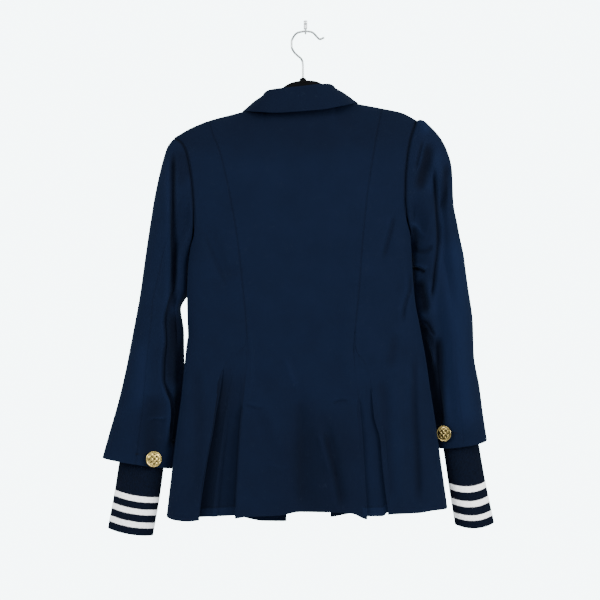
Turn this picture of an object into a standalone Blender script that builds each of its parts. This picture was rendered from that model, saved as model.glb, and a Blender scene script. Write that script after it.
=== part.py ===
"""A woman's navy blazer hanging open on a slim velvet hanger from a small wall hook, seen from behind.

Metres, +Z up, the wall at Y = 0, and the back of the blazer towards -Y. The origin is on the wall, at the
middle of the wall hook's back face. The tables are in millimetres: across is along +X and drop is down from
the origin. Each piece of cloth is a wall between an outer grid of points and the same grid moved inwards.
"""

import math

import bmesh
import bpy
import numpy as np
from mathutils import Matrix, Vector

MM = 0.001
WALL = 1.6
SEAM_GAP = 0.3
SLEEVE_SEAM_GAP = 0.36
# Shoulder line to hem
BODY_LENGTH = 620.0
# Level of the underarm, where the shoulder line is 0 and the hem is 1
UNDERARM = 0.3
# The whole garment hangs a little lower on its left
TILT = math.radians(4.2)
RIDGE_Y = -24.0
NECK_DEPTH = 30.0
# How square the sections are: 2 is an ellipse
SLEEVE_ROUND = 2.2
BODY_ROUND = 2.5
# Reach below the shoulder line in which the cloth rounds over, and how much deeper the front armhole is
BACK_ROLL = 60.0
FRONT_ROLL = 40.0
FRONT_SCOOP = 12.0


def table(columns, *rows):
    """One array for each named column."""
    return dict(zip(columns.split(), np.array(rows, float).T))


# Outline of the back: the armhole seam down to the underarm, then the side
LEFT_EDGE = table(
    "drop across",
    (184, -212), (194, -199), (213, -190), (240, -184), (277, -180), (309, -178.5), (342, -180),
    (361, -184.6), (398, -188.6), (441, -189.7), (478, -187.8), (502, -187), (526, -191),
    (598, -198), (654, -204.7), (712, -211), (789, -219),
)
RIGHT_EDGE = table(
    "drop across",
    (156, 179.5), (173, 173), (191, 167.5), (218, 162.7), (253, 159.5), (285, 159), (313, 162),
    (343, 168.3), (398, 171.6), (446, 175.6), (494, 184.4), (542, 193.2), (598, 201.2),
    (654, 209.3), (690, 213.3), (735, 218), (778, 222),
)
# Princess seams: the centre panel's own edge, and below the waist the side panel's flap beside it
SEAM_LEFT = table(
    "drop across",
    (150, -157), (180, -149), (207, -138), (252, -126.7), (295, -118), (342, -110), (385, -104.4),
    (430, -99.7), (478, -95), (525, -93.3), (581, -96.5), (637, -103), (732, -109), (795, -112.5),
)
SEAM_RIGHT = table(
    "drop across",
    (130, 125), (165, 117), (199, 110.5), (239, 104), (271, 99.3), (327, 93), (382, 88.2),
    (446, 83.4), (494, 78.6), (526, 77), (581, 81.8), (637, 88), (717, 93), (795, 98),
)
FLAP_LEFT = table(
    "drop past_seam",
    (508, 0), (518, 2), (531, 15), (540, 28), (552, 35), (596, 39), (651, 42.5), (699, 49), (746, 54),
    (790, 57),
)
FLAP_RIGHT = table(
    "drop past_seam",
    (515, 0), (528, 3), (549, 17), (580, 21.6), (628, 21), (667, 28), (715, 29.5), (780, 33),
)

# Where each level crosses the two edges, from the shoulder tips through the underarms to the hem
LEVELS = table("level left right", (0, 184, 156), (UNDERARM, 361, 343), (0.6, 545, 530), (1, 789, 778))
SHOULDER_LINE = table(
    "across drop",
    (-212, 184), (-185, 170.5), (-157, 158.4), (-100, 142), (-64, 129.5), (-36, 131.5), (-9, 132.5),
    (18, 129), (47, 120.5), (81, 129.5), (125, 139), (155, 146), (179.5, 156),
)
BACK_HEM = table(
    "across drop",
    (-219, 789), (-209, 790.5), (-190, 791.7), (-168, 789), (-111, 787.8), (-95, 786), (-40, 783),
    (-9, 777.8), (35, 777.3), (62, 779), (75, 781), (97, 788), (130, 780), (180, 778.3), (204, 775),
    (222, 778),
)
FRONT_HEM = table(
    "across drop",
    (-219, 789), (-150, 790), (-110, 794), (-90, 799), (-70, 802), (-30, 802), (41, 795.5),
    (64, 792), (100, 786), (180, 781), (222, 778),
)
# Depth of the cloth at each level, measured from the wall
DEPTHS = table(
    "level back_edge back_middle front_edge front_middle",
    (0, -44, -54, -15, -13), (0.1, -52, -62, -15, -12), (0.2, -55, -69, -18, -11),
    (0.26, -50, -72, -28, -10.5), (UNDERARM, -43, -74, -43, -10), (0.45, -42, -77, -42, -10),
    (0.65, -42, -81, -42, -9.5), (0.82, -43, -88, -43, -9), (1, -44, -94, -44, -9),
)
# The front opening: roll line down to the break, then the straight edge
FRONT_EDGE_LEFT = table(
    "drop across",
    (120, -64), (180, -59), (260, -49), (340, -39), (420, -31), (600, -30), (805, -31.6),
)
FRONT_EDGE_RIGHT = table(
    "drop across",
    (110, 47), (180, 46), (260, 44), (340, 42), (420, 40), (600, 40), (805, 41.3),
)

# The pleats' underlays: width hidden under each panel beside them, and depth under the panels at their top
PLEAT_TUCK = 9.0
PLEAT_SHALLOW = 2.6

# Main folds of the back: from one end to the other, half width, and height (minus is a trough)
BACK_FOLDS = table(
    "across drop to_across to_drop half_width height",
    (-6, 600, -2, 775, 16, -6), (30, 640, 60, 775, 9, -5), (22, 650, 40, 720, 8, 4),
    (-75, 590, -34, 690, 12, 4), (168, 530, 176, 780, 13, -6), (148, 560, 156, 780, 12, 3),
    (-160, 330, -125, 420, 12, -5), (150, 290, 128, 380, 12, -5), (158, 400, 150, 490, 8, -4),
    (-190, 560, -196, 780, 12, -4), (-70, 560, -60, 660, 16, -3), (70, 440, 62, 560, 14, 3),
)

# Sleeves: each section runs from a point of the outer outline to one of the inner outline
SLEEVE_LEFT = table(
    "outer_across outer_drop inner_across inner_drop outer_y inner_y half_depth bow",
    (-212, 184, -184.6, 361, -27, -43, 19, 17), (-221.4, 200, -185.6, 366, -30, -40, 22, 15),
    (-229.4, 221, -185.4, 373, -33, -36, 25, 12), (-237.4, 261, -186.2, 383, -36, -31, 27, 8),
    (-243, 293, -187.2, 396, -38, -28, 28, 5), (-249.5, 333, -187.5, 412, -40, -26, 29, 2),
    (-256.8, 385, -188.5, 434, -41, -25, 30, 0), (-264.8, 438, -200.5, 461, -42, -27, 30, 0),
    (-276, 494, -197.5, 500, -42, -29, 30, -1), (-286.5, 550, -190.5, 550, -41, -24, 29, -2),
    (-301, 607, -195, 604, -40, -23, 28, -3), (-313, 655, -203, 662, -38, -23, 27, -3),
    (-324.3, 696, -211.5, 713, -36, -24, 26, -4),
)
SLEEVE_RIGHT = table(
    "outer_across outer_drop inner_across inner_drop outer_y inner_y half_depth bow",
    (179.5, 156, 168.3, 343, -27, -43, 19, 17), (191.4, 162, 168.5, 348, -30, -40, 22, 16),
    (203.5, 172.3, 168.8, 355, -33, -36, 24, 14), (216.4, 188.4, 169.3, 364, -36, -32, 26, 12),
    (226.8, 209, 169.9, 376, -38, -29, 28, 9), (232.4, 233.5, 170.3, 390, -40, -27, 29, 7),
    (235.7, 290, 171, 415, -41, -25, 30, 3), (242, 325, 172, 436, -42, -24, 30, 1),
    (250, 370, 175.5, 462, -42, -24, 30, 0), (258, 426.6, 181, 492, -42, -23, 30, 0),
    (264.6, 486, 187.5, 528, -41, -23, 29, -1), (268.7, 534, 193.5, 568, -40, -23, 28, -2),
    (275.9, 583, 199.5, 610, -39, -23, 27, -3), (282.3, 631, 205, 648, -37, -23, 26, -3),
    (288.8, 668, 210, 682, -36, -24, 25, -4),
)
# Angle of the two sleeve seams round each section: 0 is the outer outline, 90 faces away from the wall
ARM_SEAMS = table("way back front", (0, 105, -105), (0.35, 86, -100), (0.6, 74, -98), (1, 88, -96))
SLEEVE_LOOP_FADE = 0.45
# How far the sleeve's hem hangs lower in the middle of the face away from the wall, and where that starts
HEM_DIP = 8.5
HEM_DIP_FROM = 0.84
# Long soft creases of the sleeves: angle round, from and to along the sleeve, half widths, height
CREASES_LEFT = table(
    "angle from_way to_way half_angle height",
    (103, 0.04, 0.62, 15, -10), (60, 0.1, 0.5, 20, 4), (128, 0.5, 0.75, 10, -6), (115, 0.6, 0.98, 12, 4),
)
CREASES_RIGHT = table(
    "angle from_way to_way half_angle height",
    (72, 0.12, 0.75, 14, -9), (38, 0.1, 0.42, 12, -5), (118, 0.1, 0.35, 18, -7), (100, 0.5, 0.95, 16, -8),
)

# Collar, in its own tilted frame round the middle of the neck, for one half and mirrored
COLLAR_MIDDLE = (-8.5, -135.5)
COLLAR = table(
    "fold_x fold_y fold_z edge_x edge_y edge_z seam_x seam_y seam_z",
    (0, -60, 31, 0, -70.5, -10, 0, -54, 7), (28, -57, 31, 37, -69, -9, 25, -51, 7.5),
    (46, -49, 30.5, 66, -61, -5, 42, -44, 8.5), (54, -38, 28, 83, -45, 0, 51, -34, 10.5),
    (57, -24, 25.5, 92, -24, 3.6, 54, -24, 13), (58, -13, 17, 96, -9.5, -12, 55, -15, 3),
    (57, -8.5, -4, 99, -7.5, -32, 54.5, -12, -14), (53.5, -7.5, -28, 101, -7, -50, 52, -12, -36),
    (50.5, -7.5, -50, 101, -6.5, -63, 49.5, -12, -54),
)
NECK_HALF = 55.0
FOLD_HALF_GAP = 2.6
LAPEL_GAP = 0.5
LAPEL = table(
    "roll_drop outer_from_roll outer_drop",
    (191, 66, 221), (240, 68, 262), (300, 54, 312), (355, 36, 362), (412, 6, 415),
)

CUFF_LEFT = table(
    "outer_across outer_drop inner_across inner_drop middle_y half_depth",
    (-292, 676, -229, 686, -30, 17), (-299.5, 709, -232.5, 720, -29, 16),
    (-306, 753, -238, 763, -27, 16), (-317.2, 812, -248.3, 823.6, -25, 15),
)
CUFF_RIGHT = table(
    "outer_across outer_drop inner_across inner_drop middle_y half_depth",
    (270, 646, 217, 656, -30, 17), (275, 678, 223.5, 688, -29, 16),
    (285.6, 737, 231.6, 744, -27, 16), (301, 806, 242, 808.3, -25, 15),
)
CUFF_SEAM_WAY = 0.93
# From the sleeve's outer face to the cuff's, where the cuff is sewn in
CUFF_INSIDE = WALL + 1.35
# Each cuff button's place: how far along the sleeve, and its angle round it in degrees
CUFF_BUTTONS = {"left": (0.975, 112.5), "right": (0.951, 123)}
# The left front's two buttons: drops, and distance in from the edge
FRONT_BUTTONS = {"upper": 448, "lower": 548}
FRONT_BUTTON_INSET = 17

HANGER_Y = -25.0
HANGER_THICK = 4.6
HANGER_BEVEL = 0.9
HANGER_MIDDLE = (-4.1, -91.0)
HANGER_ARCH = table("out height", (0, 0), (16, -2), (32, -9), (42, -22), (50, -40), (70, -50))
HANGER_BLEND = (46, 70)
HANGER_ENDS = (-196, 167)
# Height of the arms' outline at the neck and at the tips
ARM_DEPTHS = (19.0, 11.0)
HANGER_UNDER_CLOTH = 3.9
NECK_BUMP = (4.4, 2.6)
WIRE_RADIUS = 1.4
WIRE = table(
    "across drop",
    (29, 23), (23.3, 25.1), (18.5, 21.4), (13.7, 16.2), (8.8, 13.3), (0, 12.4), (-8.9, 13.6), (-13.8, 15.3),
    (-19.4, 21.4), (-22.5, 29.5), (-22.3, 37.5), (-18.6, 45.6), (-12.2, 52.1), (-7.3, 56.4),
    (-4.6, 62.5), (-4.1, 71.4), (-4.1, 87.1),
)
# Wall hook: a plate on the wall, a nail head on it, and a bent wire that starts on the plate
PLATE_SIZE = (6.0, 1.5, 15.0)
PLATE_MIDDLE_UP = 1.5
NAIL_UP = 5.0
NAIL_PROFILE = table("radius height", (0, 2.2), (1.8, 1.9), (2.6, 1.0), (2.6, 0), (0, 0))
WALL_WIRE_RADIUS = 1.0
WALL_HOOK = table(
    "y height",
    (-1.8, -3.5), (-5, -4.5), (-9, -9), (-14, -13.6), (-24, -15.2), (-30, -13), (-33, -7.5), (-33, -4),
)
BUTTON_PROFILE = table(
    "radius height",
    (0, 6.6), (7, 6.1), (10.4, 5.1), (11.2, 5.7), (12.2, 5.5), (12.8, 4.4), (11.6, 3.2), (2.8, 2.7),
    (2.6, 0.3), (0, 0.3),
)

NAVY = ((0.006, 0.014, 0.038, 1), 0.85, 0)
KNIT = ((0.005, 0.011, 0.030, 1), 0.9, 0)
GOLD = ((0.55, 0.36, 0.12, 1), 0.38, 1)
VELVET = ((0.004, 0.004, 0.005, 1), 0.95, 0)
CHROME = ((0.75, 0.76, 0.78, 1), 0.12, 1)
STEEL = ((0.45, 0.45, 0.46, 1), 0.3, 1)


def smooth(columns, key, value):
    """A cubic through two columns that never swings past its rows, as a function of the first."""
    x, y = columns[key], columns[value]
    step = np.diff(x)
    slope = np.diff(y) / step
    tangent = np.zeros_like(y)
    same_way = slope[:-1] * slope[1:] > 0
    blend = (step[:-1] + step[1:]) * 3
    weight_a, weight_b = 2 * step[1:] + step[:-1], step[1:] + 2 * step[:-1]
    safe = np.where(same_way, slope[:-1], 1), np.where(same_way, slope[1:], 1)
    tangent[1:-1] = np.where(same_way, blend / (weight_a / safe[0] + weight_b / safe[1]), 0)
    tangent[0], tangent[-1] = slope[0], slope[-1]

    def at(where):
        where = np.clip(where, x[0], x[-1])
        i = np.clip(np.searchsorted(x, where, "right") - 1, 0, len(step) - 1)
        t = (where - x[i]) / step[i]
        rise = y[i] * (1 + 2 * t) * (1 - t) ** 2 + y[i + 1] * t**2 * (3 - 2 * t)
        return rise + step[i] * (tangent[i] * t * (1 - t) ** 2 - tangent[i + 1] * t**2 * (1 - t))

    return at


def by_share(columns):
    """Each column of a table as a smooth function of the share of the way down its rows."""
    return {
        name: smooth({"share": np.linspace(0, 1, len(values)), "value": values}, "share", "value")
        for name, values in columns.items()
    }


def ease(amount):
    """0 to 1 with level ends."""
    t = np.clip(amount, 0, 1)
    return t * t * (3 - 2 * t)


left_x, right_x = smooth(LEFT_EDGE, "drop", "across"), smooth(RIGHT_EDGE, "drop", "across")
seam_left_x, seam_right_x = smooth(SEAM_LEFT, "drop", "across"), smooth(SEAM_RIGHT, "drop", "across")
flap_left, flap_right = smooth(FLAP_LEFT, "drop", "past_seam"), smooth(FLAP_RIGHT, "drop", "past_seam")
level_left, level_right = smooth(LEVELS, "level", "left"), smooth(LEVELS, "level", "right")
shoulder_drop = smooth(SHOULDER_LINE, "across", "drop")
back_hem_drop, front_hem_drop = smooth(BACK_HEM, "across", "drop"), smooth(FRONT_HEM, "across", "drop")
back_edge_y, back_middle_y = smooth(DEPTHS, "level", "back_edge"), smooth(DEPTHS, "level", "back_middle")
front_edge_y, front_middle_y = smooth(DEPTHS, "level", "front_edge"), smooth(DEPTHS, "level", "front_middle")
front_left_x = smooth(FRONT_EDGE_LEFT, "drop", "across")
front_right_x = smooth(FRONT_EDGE_RIGHT, "drop", "across")


def armhole_scoop(drop, top, bottom):
    """How much further in the front armhole is cut than the back one."""
    return FRONT_SCOOP * np.sin(math.pi * np.clip((drop - top) / (bottom - top), 0, 1))


def front_side_x(side):
    """The front panel's outer edge, as a function of the drop: the armhole, then the side seam."""
    edge, level_drop = (left_x, level_left) if side < 0 else (right_x, level_right)
    tip, low = level_drop(0.0), level_drop(UNDERARM)
    return lambda drop: edge(drop) - side * armhole_scoop(drop, tip, low)


def body_place(line_x, level, hem_drop, front=False):
    """Across, drop and share of the width where the line x(drop) crosses a level."""
    drop_l, drop_r = level_left(level), level_right(level)
    edge_l, edge_r = left_x(drop_l), right_x(drop_r)
    tip_l, tip_r = level_left(0.0), level_right(0.0)
    hem_l, hem_r = level_left(1.0), level_right(1.0)
    drop = (drop_l + drop_r) / 2
    for _ in range(4):
        across = line_x(drop)
        share = np.clip((across - edge_l) / (edge_r - edge_l), 0, 1)
        flat = drop_l + share * (drop_r - drop_l)
        line_at = LEFT_EDGE["across"][0] + share * (RIGHT_EDGE["across"][0] - LEFT_EDGE["across"][0])
        rise = shoulder_drop(line_at) - (tip_l + share * (tip_r - tip_l))
        hem_at = LEFT_EDGE["across"][-1] + share * (RIGHT_EDGE["across"][-1] - LEFT_EDGE["across"][-1])
        fall = hem_drop(hem_at) - (hem_l + share * (hem_r - hem_l))
        drop = flat + rise * (1 - level) ** 2.2 + fall * level**4
    return across, drop, share


def body_shape(share, level):
    """0 at the sides to 1 in the middle: a soft curve at the chest, a rounded box below the arms."""
    out = np.abs(2 * share - 1) ** BODY_ROUND
    boxed = ease((level - 0.2) / 0.14)
    return (1 - boxed) * (1 - out) + boxed * (1 - out) ** (1 / BODY_ROUND)


def fold_height(across, drop, folds):
    """Sum of the folds: each is a bell across its line, fading towards both of its ends."""
    total = np.zeros_like(across)
    for x0, z0, x1, z1, half_width, height in zip(*folds.values()):
        along = np.array([x1 - x0, z1 - z0])
        reach = np.hypot(*along)
        along = along / reach
        run = ((across - x0) * along[0] + (drop - z0) * along[1]) / reach
        off = (across - x0) * along[1] - (drop - z0) * along[0]
        fade = ease((run + 0.15) / 0.4) * ease((1.1 - run) / 0.3)
        total += height * np.exp(-((off / half_width) ** 2)) * fade
    return total


def lift(drop, across, reach):
    """0 on the shoulder ridge to 1 a reach below it, round like the ridge itself."""
    down = np.clip((drop - shoulder_drop(across)) / reach, 0, 1)
    return np.sqrt(1 - (1 - down) ** 2)


def back_y(across, drop, share, level):
    """Depth of the back's outer face, out from the neck and shoulder line over the shoulder blades."""
    out = np.clip(np.abs(across - COLLAR_MIDDLE[0]) / NECK_HALF, 0, 1)
    neck = RIDGE_Y - NECK_DEPTH * np.sqrt(1 - out**2)
    form = body_shape(share, level)
    full = (1 - form) * back_edge_y(level) + form * back_middle_y(level)
    full = np.minimum(full, neck - 2)
    raised = lift(drop, across, BACK_ROLL)
    inside = ease(np.minimum(share, 1 - share) / 0.12)
    return neck * (1 - raised) + full * raised - inside * fold_height(across, drop, BACK_FOLDS)


def front_y(across, drop, share, level):
    """Depth of a front's outer face, which is the one towards the wall."""
    form = body_shape(share, level)
    edge = np.where(level > UNDERARM, back_edge_y(level), front_edge_y(level))
    full = (1 - form) * edge + form * front_middle_y(level)
    raised = lift(drop, across, FRONT_ROLL)
    return RIDGE_Y * (1 - raised) + full * raised


def grid_of(lines, levels, shares, hem_drop, depth):
    """Points between two lines x(drop), a row for each level and a column for each share."""
    def between(share):
        return lambda drop: (1 - share) * lines[0](drop) + share * lines[1](drop)

    rows = []
    for level in levels:
        places = [body_place(between(s), level, hem_drop) for s in shares]
        across, drop, share = (np.array(v, float) for v in zip(*places))
        rows.append(np.stack([across, depth(across, drop, share, level), -drop], axis=-1))
    return np.array(rows)


def normals_of(points, outward):
    """Unit normals of a grid, on the side that outward points to."""
    down, along = np.gradient(points, axis=0), np.gradient(points, axis=1)
    normal = np.cross(down, along)
    normal /= np.linalg.norm(normal, axis=-1, keepdims=True)
    sign = np.sign((normal * outward).sum(axis=-1, keepdims=True).mean())
    return normal * sign


def unit(vector):
    vector = np.asarray(vector, float)
    return vector / np.linalg.norm(vector, axis=-1, keepdims=True)


def drawn_in(points, edges, amount=SEAM_GAP / 2):
    """The grid with its named edges moved in by half a seam gap."""
    points = points.copy()
    for edge in edges:
        rim, inside = {
            "left": (np.s_[:, 0], np.s_[:, 1]), "right": (np.s_[:, -1], np.s_[:, -2]),
            "top": (np.s_[0, :], np.s_[1, :]), "bottom": (np.s_[-1, :], np.s_[-2, :]),
        }[edge]
        points[rim] += amount * unit(points[inside] - points[rim])
    return points


def principled(name, finish):
    colour, roughness, metallic = finish
    material = bpy.data.materials.new(name)
    material.use_nodes = True
    shader = material.node_tree.nodes["Principled BSDF"]
    shader.inputs["Base Color"].default_value = colour
    shader.inputs["Roughness"].default_value = roughness
    shader.inputs["Metallic"].default_value = metallic
    return material


def add_object(name, data, finish, parts):
    obj = bpy.data.objects.new(name, data)
    parts.objects.link(obj)
    data.materials.append(principled(name, finish))
    return obj


def wall(name, outer, inner, finish, parts, closed=False):
    """One closed piece of cloth between two grids; closed joins the last column to the first."""
    rows, columns = outer.shape[:2]
    points = np.concatenate([outer.reshape(-1, 3), inner.reshape(-1, 3)]) * MM
    index = np.arange(rows * columns).reshape(rows, columns)
    if closed:
        index = np.concatenate([index, index[:, :1]], axis=1)
    a, b, c, d = index[:-1, :-1], index[:-1, 1:], index[1:, 1:], index[1:, :-1]
    sheet = np.stack([a, b, c, d], axis=-1).reshape(-1, 4)
    under = rows * columns
    rims = [index[0, ::-1], index[-1, :]]
    if not closed:
        rims += [index[:, 0], index[::-1, -1]]
    edge = [np.stack([r[:-1], r[1:], r[1:] + under, r[:-1] + under], axis=-1) for r in rims]
    faces = np.concatenate([sheet, sheet[:, ::-1] + under, *edge])
    mesh = bpy.data.meshes.new(name)
    mesh.from_pydata(points.tolist(), [], faces.tolist())
    shell = bmesh.new()
    shell.from_mesh(mesh)
    if shell.calc_volume(signed=True) < 0:
        bmesh.ops.reverse_faces(shell, faces=shell.faces)
    shell.to_mesh(mesh)
    shell.free()
    mesh.shade_smooth()
    mesh.set_sharp_from_angle(angle=math.radians(50))
    return add_object(name, mesh, finish, parts)


def armhole_normal(side, angle):
    """Direction shared by the body and the sleeve along the armhole seam, so that their walls meet."""
    angle = np.asarray(angle, float)
    return unit(np.stack([np.full_like(angle, 0.4 * side), -np.sin(angle), np.cos(angle)], axis=-1))


def edge_angle(level, front):
    """The sleeve's own angle for a level of the armhole edge."""
    down = np.clip(level / UNDERARM, 0, 1)
    angle = np.arccos(np.clip(1 - 2 * down, -1, 1))
    return -angle if front else angle


# The armhole's levels lie at even steps of the sleeve's angle; the rest go down to the hem
LOOP_STEP = math.radians(15)
ARMHOLE_LEVELS = UNDERARM * (1 - np.cos(LOOP_STEP * np.arange(13))) / 2
SIDE_LEVELS = (
    0.345, 0.39, 0.435, 0.48, 0.525, 0.555, 0.585, 0.62, 0.66, 0.71, 0.76, 0.82, 0.88, 0.94, 1,
)
LEVEL_LIST = np.array([*ARMHOLE_LEVELS, *SIDE_LEVELS])


def share_list(count, crowd_start=False, crowd_end=False):
    """Shares from 0 to 1, closer together towards an end where the cloth turns."""
    s = np.linspace(0, 1, count)
    if crowd_start:
        return 1 - np.cos(math.pi / 2 * s)
    return np.sin(math.pi / 2 * s) if crowd_end else s


def ridge_normals(normal):
    """The normals along the shoulder line turned up, so that back and front meet there."""
    return unit(normal * np.array([0.3, 0, 0.3]) + np.array([0, 0, 1.0]))


def body_edge_normals(normal, side, column, front):
    """The normal grid with its armhole, side seam and shoulder set to the ones that the neighbours share."""
    for i, level in enumerate(LEVEL_LIST):
        if level <= UNDERARM:
            normal[i, column] = armhole_normal(side, edge_angle(level, front))
        else:
            normal[i, column] = (side, 0, 0)
    ridge = normal[0, 1:] if column == 0 else normal[0, :-1]
    ridge[:] = ridge_normals(ridge)
    return normal


def build_back(parts):
    """Centre panel between the princess seams, and a side panel each way with its flap over the pleat."""
    away = np.array([0, -1.0, 0])
    left_lines = left_x, lambda d: seam_left_x(d) - flap_left(d)
    right_lines = lambda d: seam_right_x(d) + flap_right(d), right_x
    columns = (
        ("back_side_left", left_lines, share_list(8, crowd_start=True), -1),
        ("back_centre", (seam_left_x, seam_right_x), share_list(15), 0),
        ("back_side_right", right_lines, share_list(8, crowd_end=True), 1),
    )
    grids = {}
    for name, lines, shares, side in columns:
        points = grid_of(lines, LEVEL_LIST, shares, back_hem_drop, back_y)
        normal = normals_of(points, away)
        if side:
            normal = body_edge_normals(normal, side, 0 if side < 0 else -1, False)
        else:
            on_ridge = np.abs(points[0, :, 0] - COLLAR_MIDDLE[0]) > NECK_HALF
            normal[0] = np.where(on_ridge[:, None], ridge_normals(normal[0]), normal[0])
        grids[name] = points, normal
    share_seam_normals(grids)
    for name, (points, normal) in grids.items():
        points = drawn_in(points, ("left", "right", "top"))
        wall(name, points, points - WALL * normal, NAVY, parts)


def share_seam_normals(grids):
    """Neighbouring panels use one normal at each level of the seam between them, down to the pleats."""
    for one, other, col_one, col_other in (
        ("back_side_left", "back_centre", -1, 0), ("back_side_right", "back_centre", 0, -1),
    ):
        a, b = grids[one][1], grids[other][1]
        shared = unit(a[:, col_one] + b[:, col_other])
        a[:, col_one] = b[:, col_other] = shared


def build_inserts(parts):
    """The underlay of each pleat, deeper towards the hem, tucked under both panels beside it."""
    levels = np.array([0.545, 0.575, 0.61, 0.66, 0.72, 0.79, 0.86, 0.93, 0.994])
    for name, seam, flap, side, deep in (
        ("pleat_insert_left", seam_left_x, flap_left, -1, 13),
        ("pleat_insert_right", seam_right_x, flap_right, 1, 6),
    ):
        lines = (
            lambda d, s=seam, f=flap, k=side: s(d) + k * (f(d) + PLEAT_TUCK),
            lambda d, s=seam, k=side: s(d) - k * PLEAT_TUCK,
        )
        points = grid_of(lines, levels, share_list(6), back_hem_drop, back_y)
        sink = PLEAT_SHALLOW + (deep - PLEAT_SHALLOW) * ease((levels - 0.56) / 0.4)
        points[..., 1] += sink[:, None]
        normal = normals_of(points, np.array([0, -1.0, 0]))
        wall(name, points, points - WALL * normal, NAVY, parts)


def build_fronts(parts):
    """Open fronts, and the lapels that lie turned back on them."""
    toward_wall = np.array([0, 1.0, 0])
    for name, side, edge_x in (("left", -1, front_left_x), ("right", 1, front_right_x)):
        lines = front_side_x(side), edge_x
        shares = share_list(10, crowd_start=True)
        points = grid_of(lines, LEVEL_LIST, shares, front_hem_drop, front_y)
        normal = body_edge_normals(normals_of(points, toward_wall), side, 0, True)
        points = drawn_in(points, ("left", "top"))
        wall("front_" + name, points, points - WALL * normal, NAVY, parts)
        build_lapel("lapel_" + name, side, edge_x, parts)


def front_face(across, drop):
    """Depth of a front's outer face at a place, from the level that crosses it."""
    level = np.array(0.2)
    for _ in range(12):
        _, here, share = body_place(lambda d: across, level, front_hem_drop)
        level = np.clip(level + (drop - here) / BODY_LENGTH, 0, 1)
    return float(front_y(np.array(across), np.array(drop), share, level))


def build_lapel(name, side, edge_x, parts):
    """A pointed strip from the roll line outwards, lying on the front panel."""
    rows = []
    for way in np.linspace(0, 1, 8):
        knots = np.linspace(0, 1, len(LAPEL["roll_drop"]))
        roll_drop, width, outer_drop = (np.interp(way, knots, LAPEL[k]) for k in LAPEL)
        row = []
        for share in np.linspace(0, 1, 5):
            drop = roll_drop + share * (outer_drop - roll_drop)
            across = edge_x(roll_drop) + side * (1.0 + share * width)
            row.append((across, front_face(across, drop) + WALL + LAPEL_GAP, -drop))
        rows.append(row)
    points = np.array(rows)
    normal = normals_of(points, np.array([0, 1.0, 0]))
    wall(name, points, points - WALL * normal, NAVY, parts)


def armhole_point(side, angle):
    """A point of the armhole seam on the body, for an angle round the sleeve."""
    angle = (angle + math.pi) % (2 * math.pi) - math.pi
    front = angle < 0
    down = (1 - math.cos(angle)) / 2
    level = np.array(UNDERARM * down)
    edge = (left_x if side < 0 else right_x) if not front else front_side_x(side)
    across, drop, share = body_place(edge, level, front_hem_drop if front else back_hem_drop)
    depth = (front_y if front else back_y)(np.array(across), np.array(drop), np.array(share), level)
    return np.array([across, depth, -drop], float)


def crease_height(angle, way, creases):
    """Sum of a sleeve's long creases, as bells round the section, fading at both ends."""
    total = np.zeros(np.broadcast(angle, way).shape)
    degrees = np.degrees(angle)
    for middle, start, end, half, height in zip(*creases.values()):
        run = (way - start) / (end - start)
        off = (degrees - middle + 180) % 360 - 180
        total = total + height * np.exp(-((off / half) ** 2)) * ease(run / 0.25) * ease((1 - run) / 0.3)
    return total


def sleeve_points(side, sections, creases, ways, angles):
    """Sleeve surface: a rounded box round each chord from outer to inner outline, eased into the armhole."""
    place = by_share(sections)
    points = np.zeros((len(ways), angles.shape[1], 3))
    for i, way in enumerate(ways):
        row = angles[i]
        turn = np.sign(np.cos(row)) * np.abs(np.cos(row)) ** (2 / SLEEVE_ROUND)
        deep = np.sign(np.sin(row)) * np.abs(np.sin(row)) ** (2 / SLEEVE_ROUND)
        at = {k: f(way) for k, f in place.items()}
        outer = np.array([at["outer_across"], at["outer_y"], -at["outer_drop"]])
        inner = np.array([at["inner_across"], at["inner_y"], -at["inner_drop"]])
        chord = inner - outer
        bow_way = unit(np.array([chord[2], 0, -chord[0]])) * -side
        swell = at["half_depth"] + crease_height(row, way, creases)
        share = ((1 - turn) / 2)[:, None]
        points[i] = outer + share * chord + np.abs(deep)[:, None] * at["bow"] * bow_way
        points[i, :, 1] -= deep * swell
        points[i, :, 2] -= HEM_DIP * np.maximum(deep, 0) * ease((way - HEM_DIP_FROM) / (1 - HEM_DIP_FROM))
    return points


def fitted_sleeve(side, sections, creases, ways, angles):
    """The sleeve surface with its top moved on to the armhole seam."""
    points = sleeve_points(side, sections, creases, ways, angles)
    start = sleeve_points(side, sections, creases, np.zeros(1), angles[:1])[0]
    loop = np.array([armhole_point(side, a) for a in angles[0]])
    fade = (1 - ease(ways / SLEEVE_LOOP_FADE))[:, None, None]
    return points + fade * (loop - start)


SLEEVES = {
    "left": (-1, SLEEVE_LEFT, CREASES_LEFT, CUFF_LEFT),
    "right": (1, SLEEVE_RIGHT, CREASES_RIGHT, CUFF_RIGHT),
}
# How far along the sleeve each ring of points lies
WAYS = np.array([
    0, 0.025, 0.06, 0.1, 0.15, 0.2, 0.255, 0.31, 0.37, 0.43, 0.49, 0.55, 0.61, 0.67, 0.73, 0.79, 0.85, 0.9,
    0.95, 1,
])


def sleeve_angles(ways, start, end, count):
    """A row of angles for each way, from one arm seam to the other."""
    share = np.linspace(0, 1, count)
    return start[:, None] + share * (end - start)[:, None]


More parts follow.
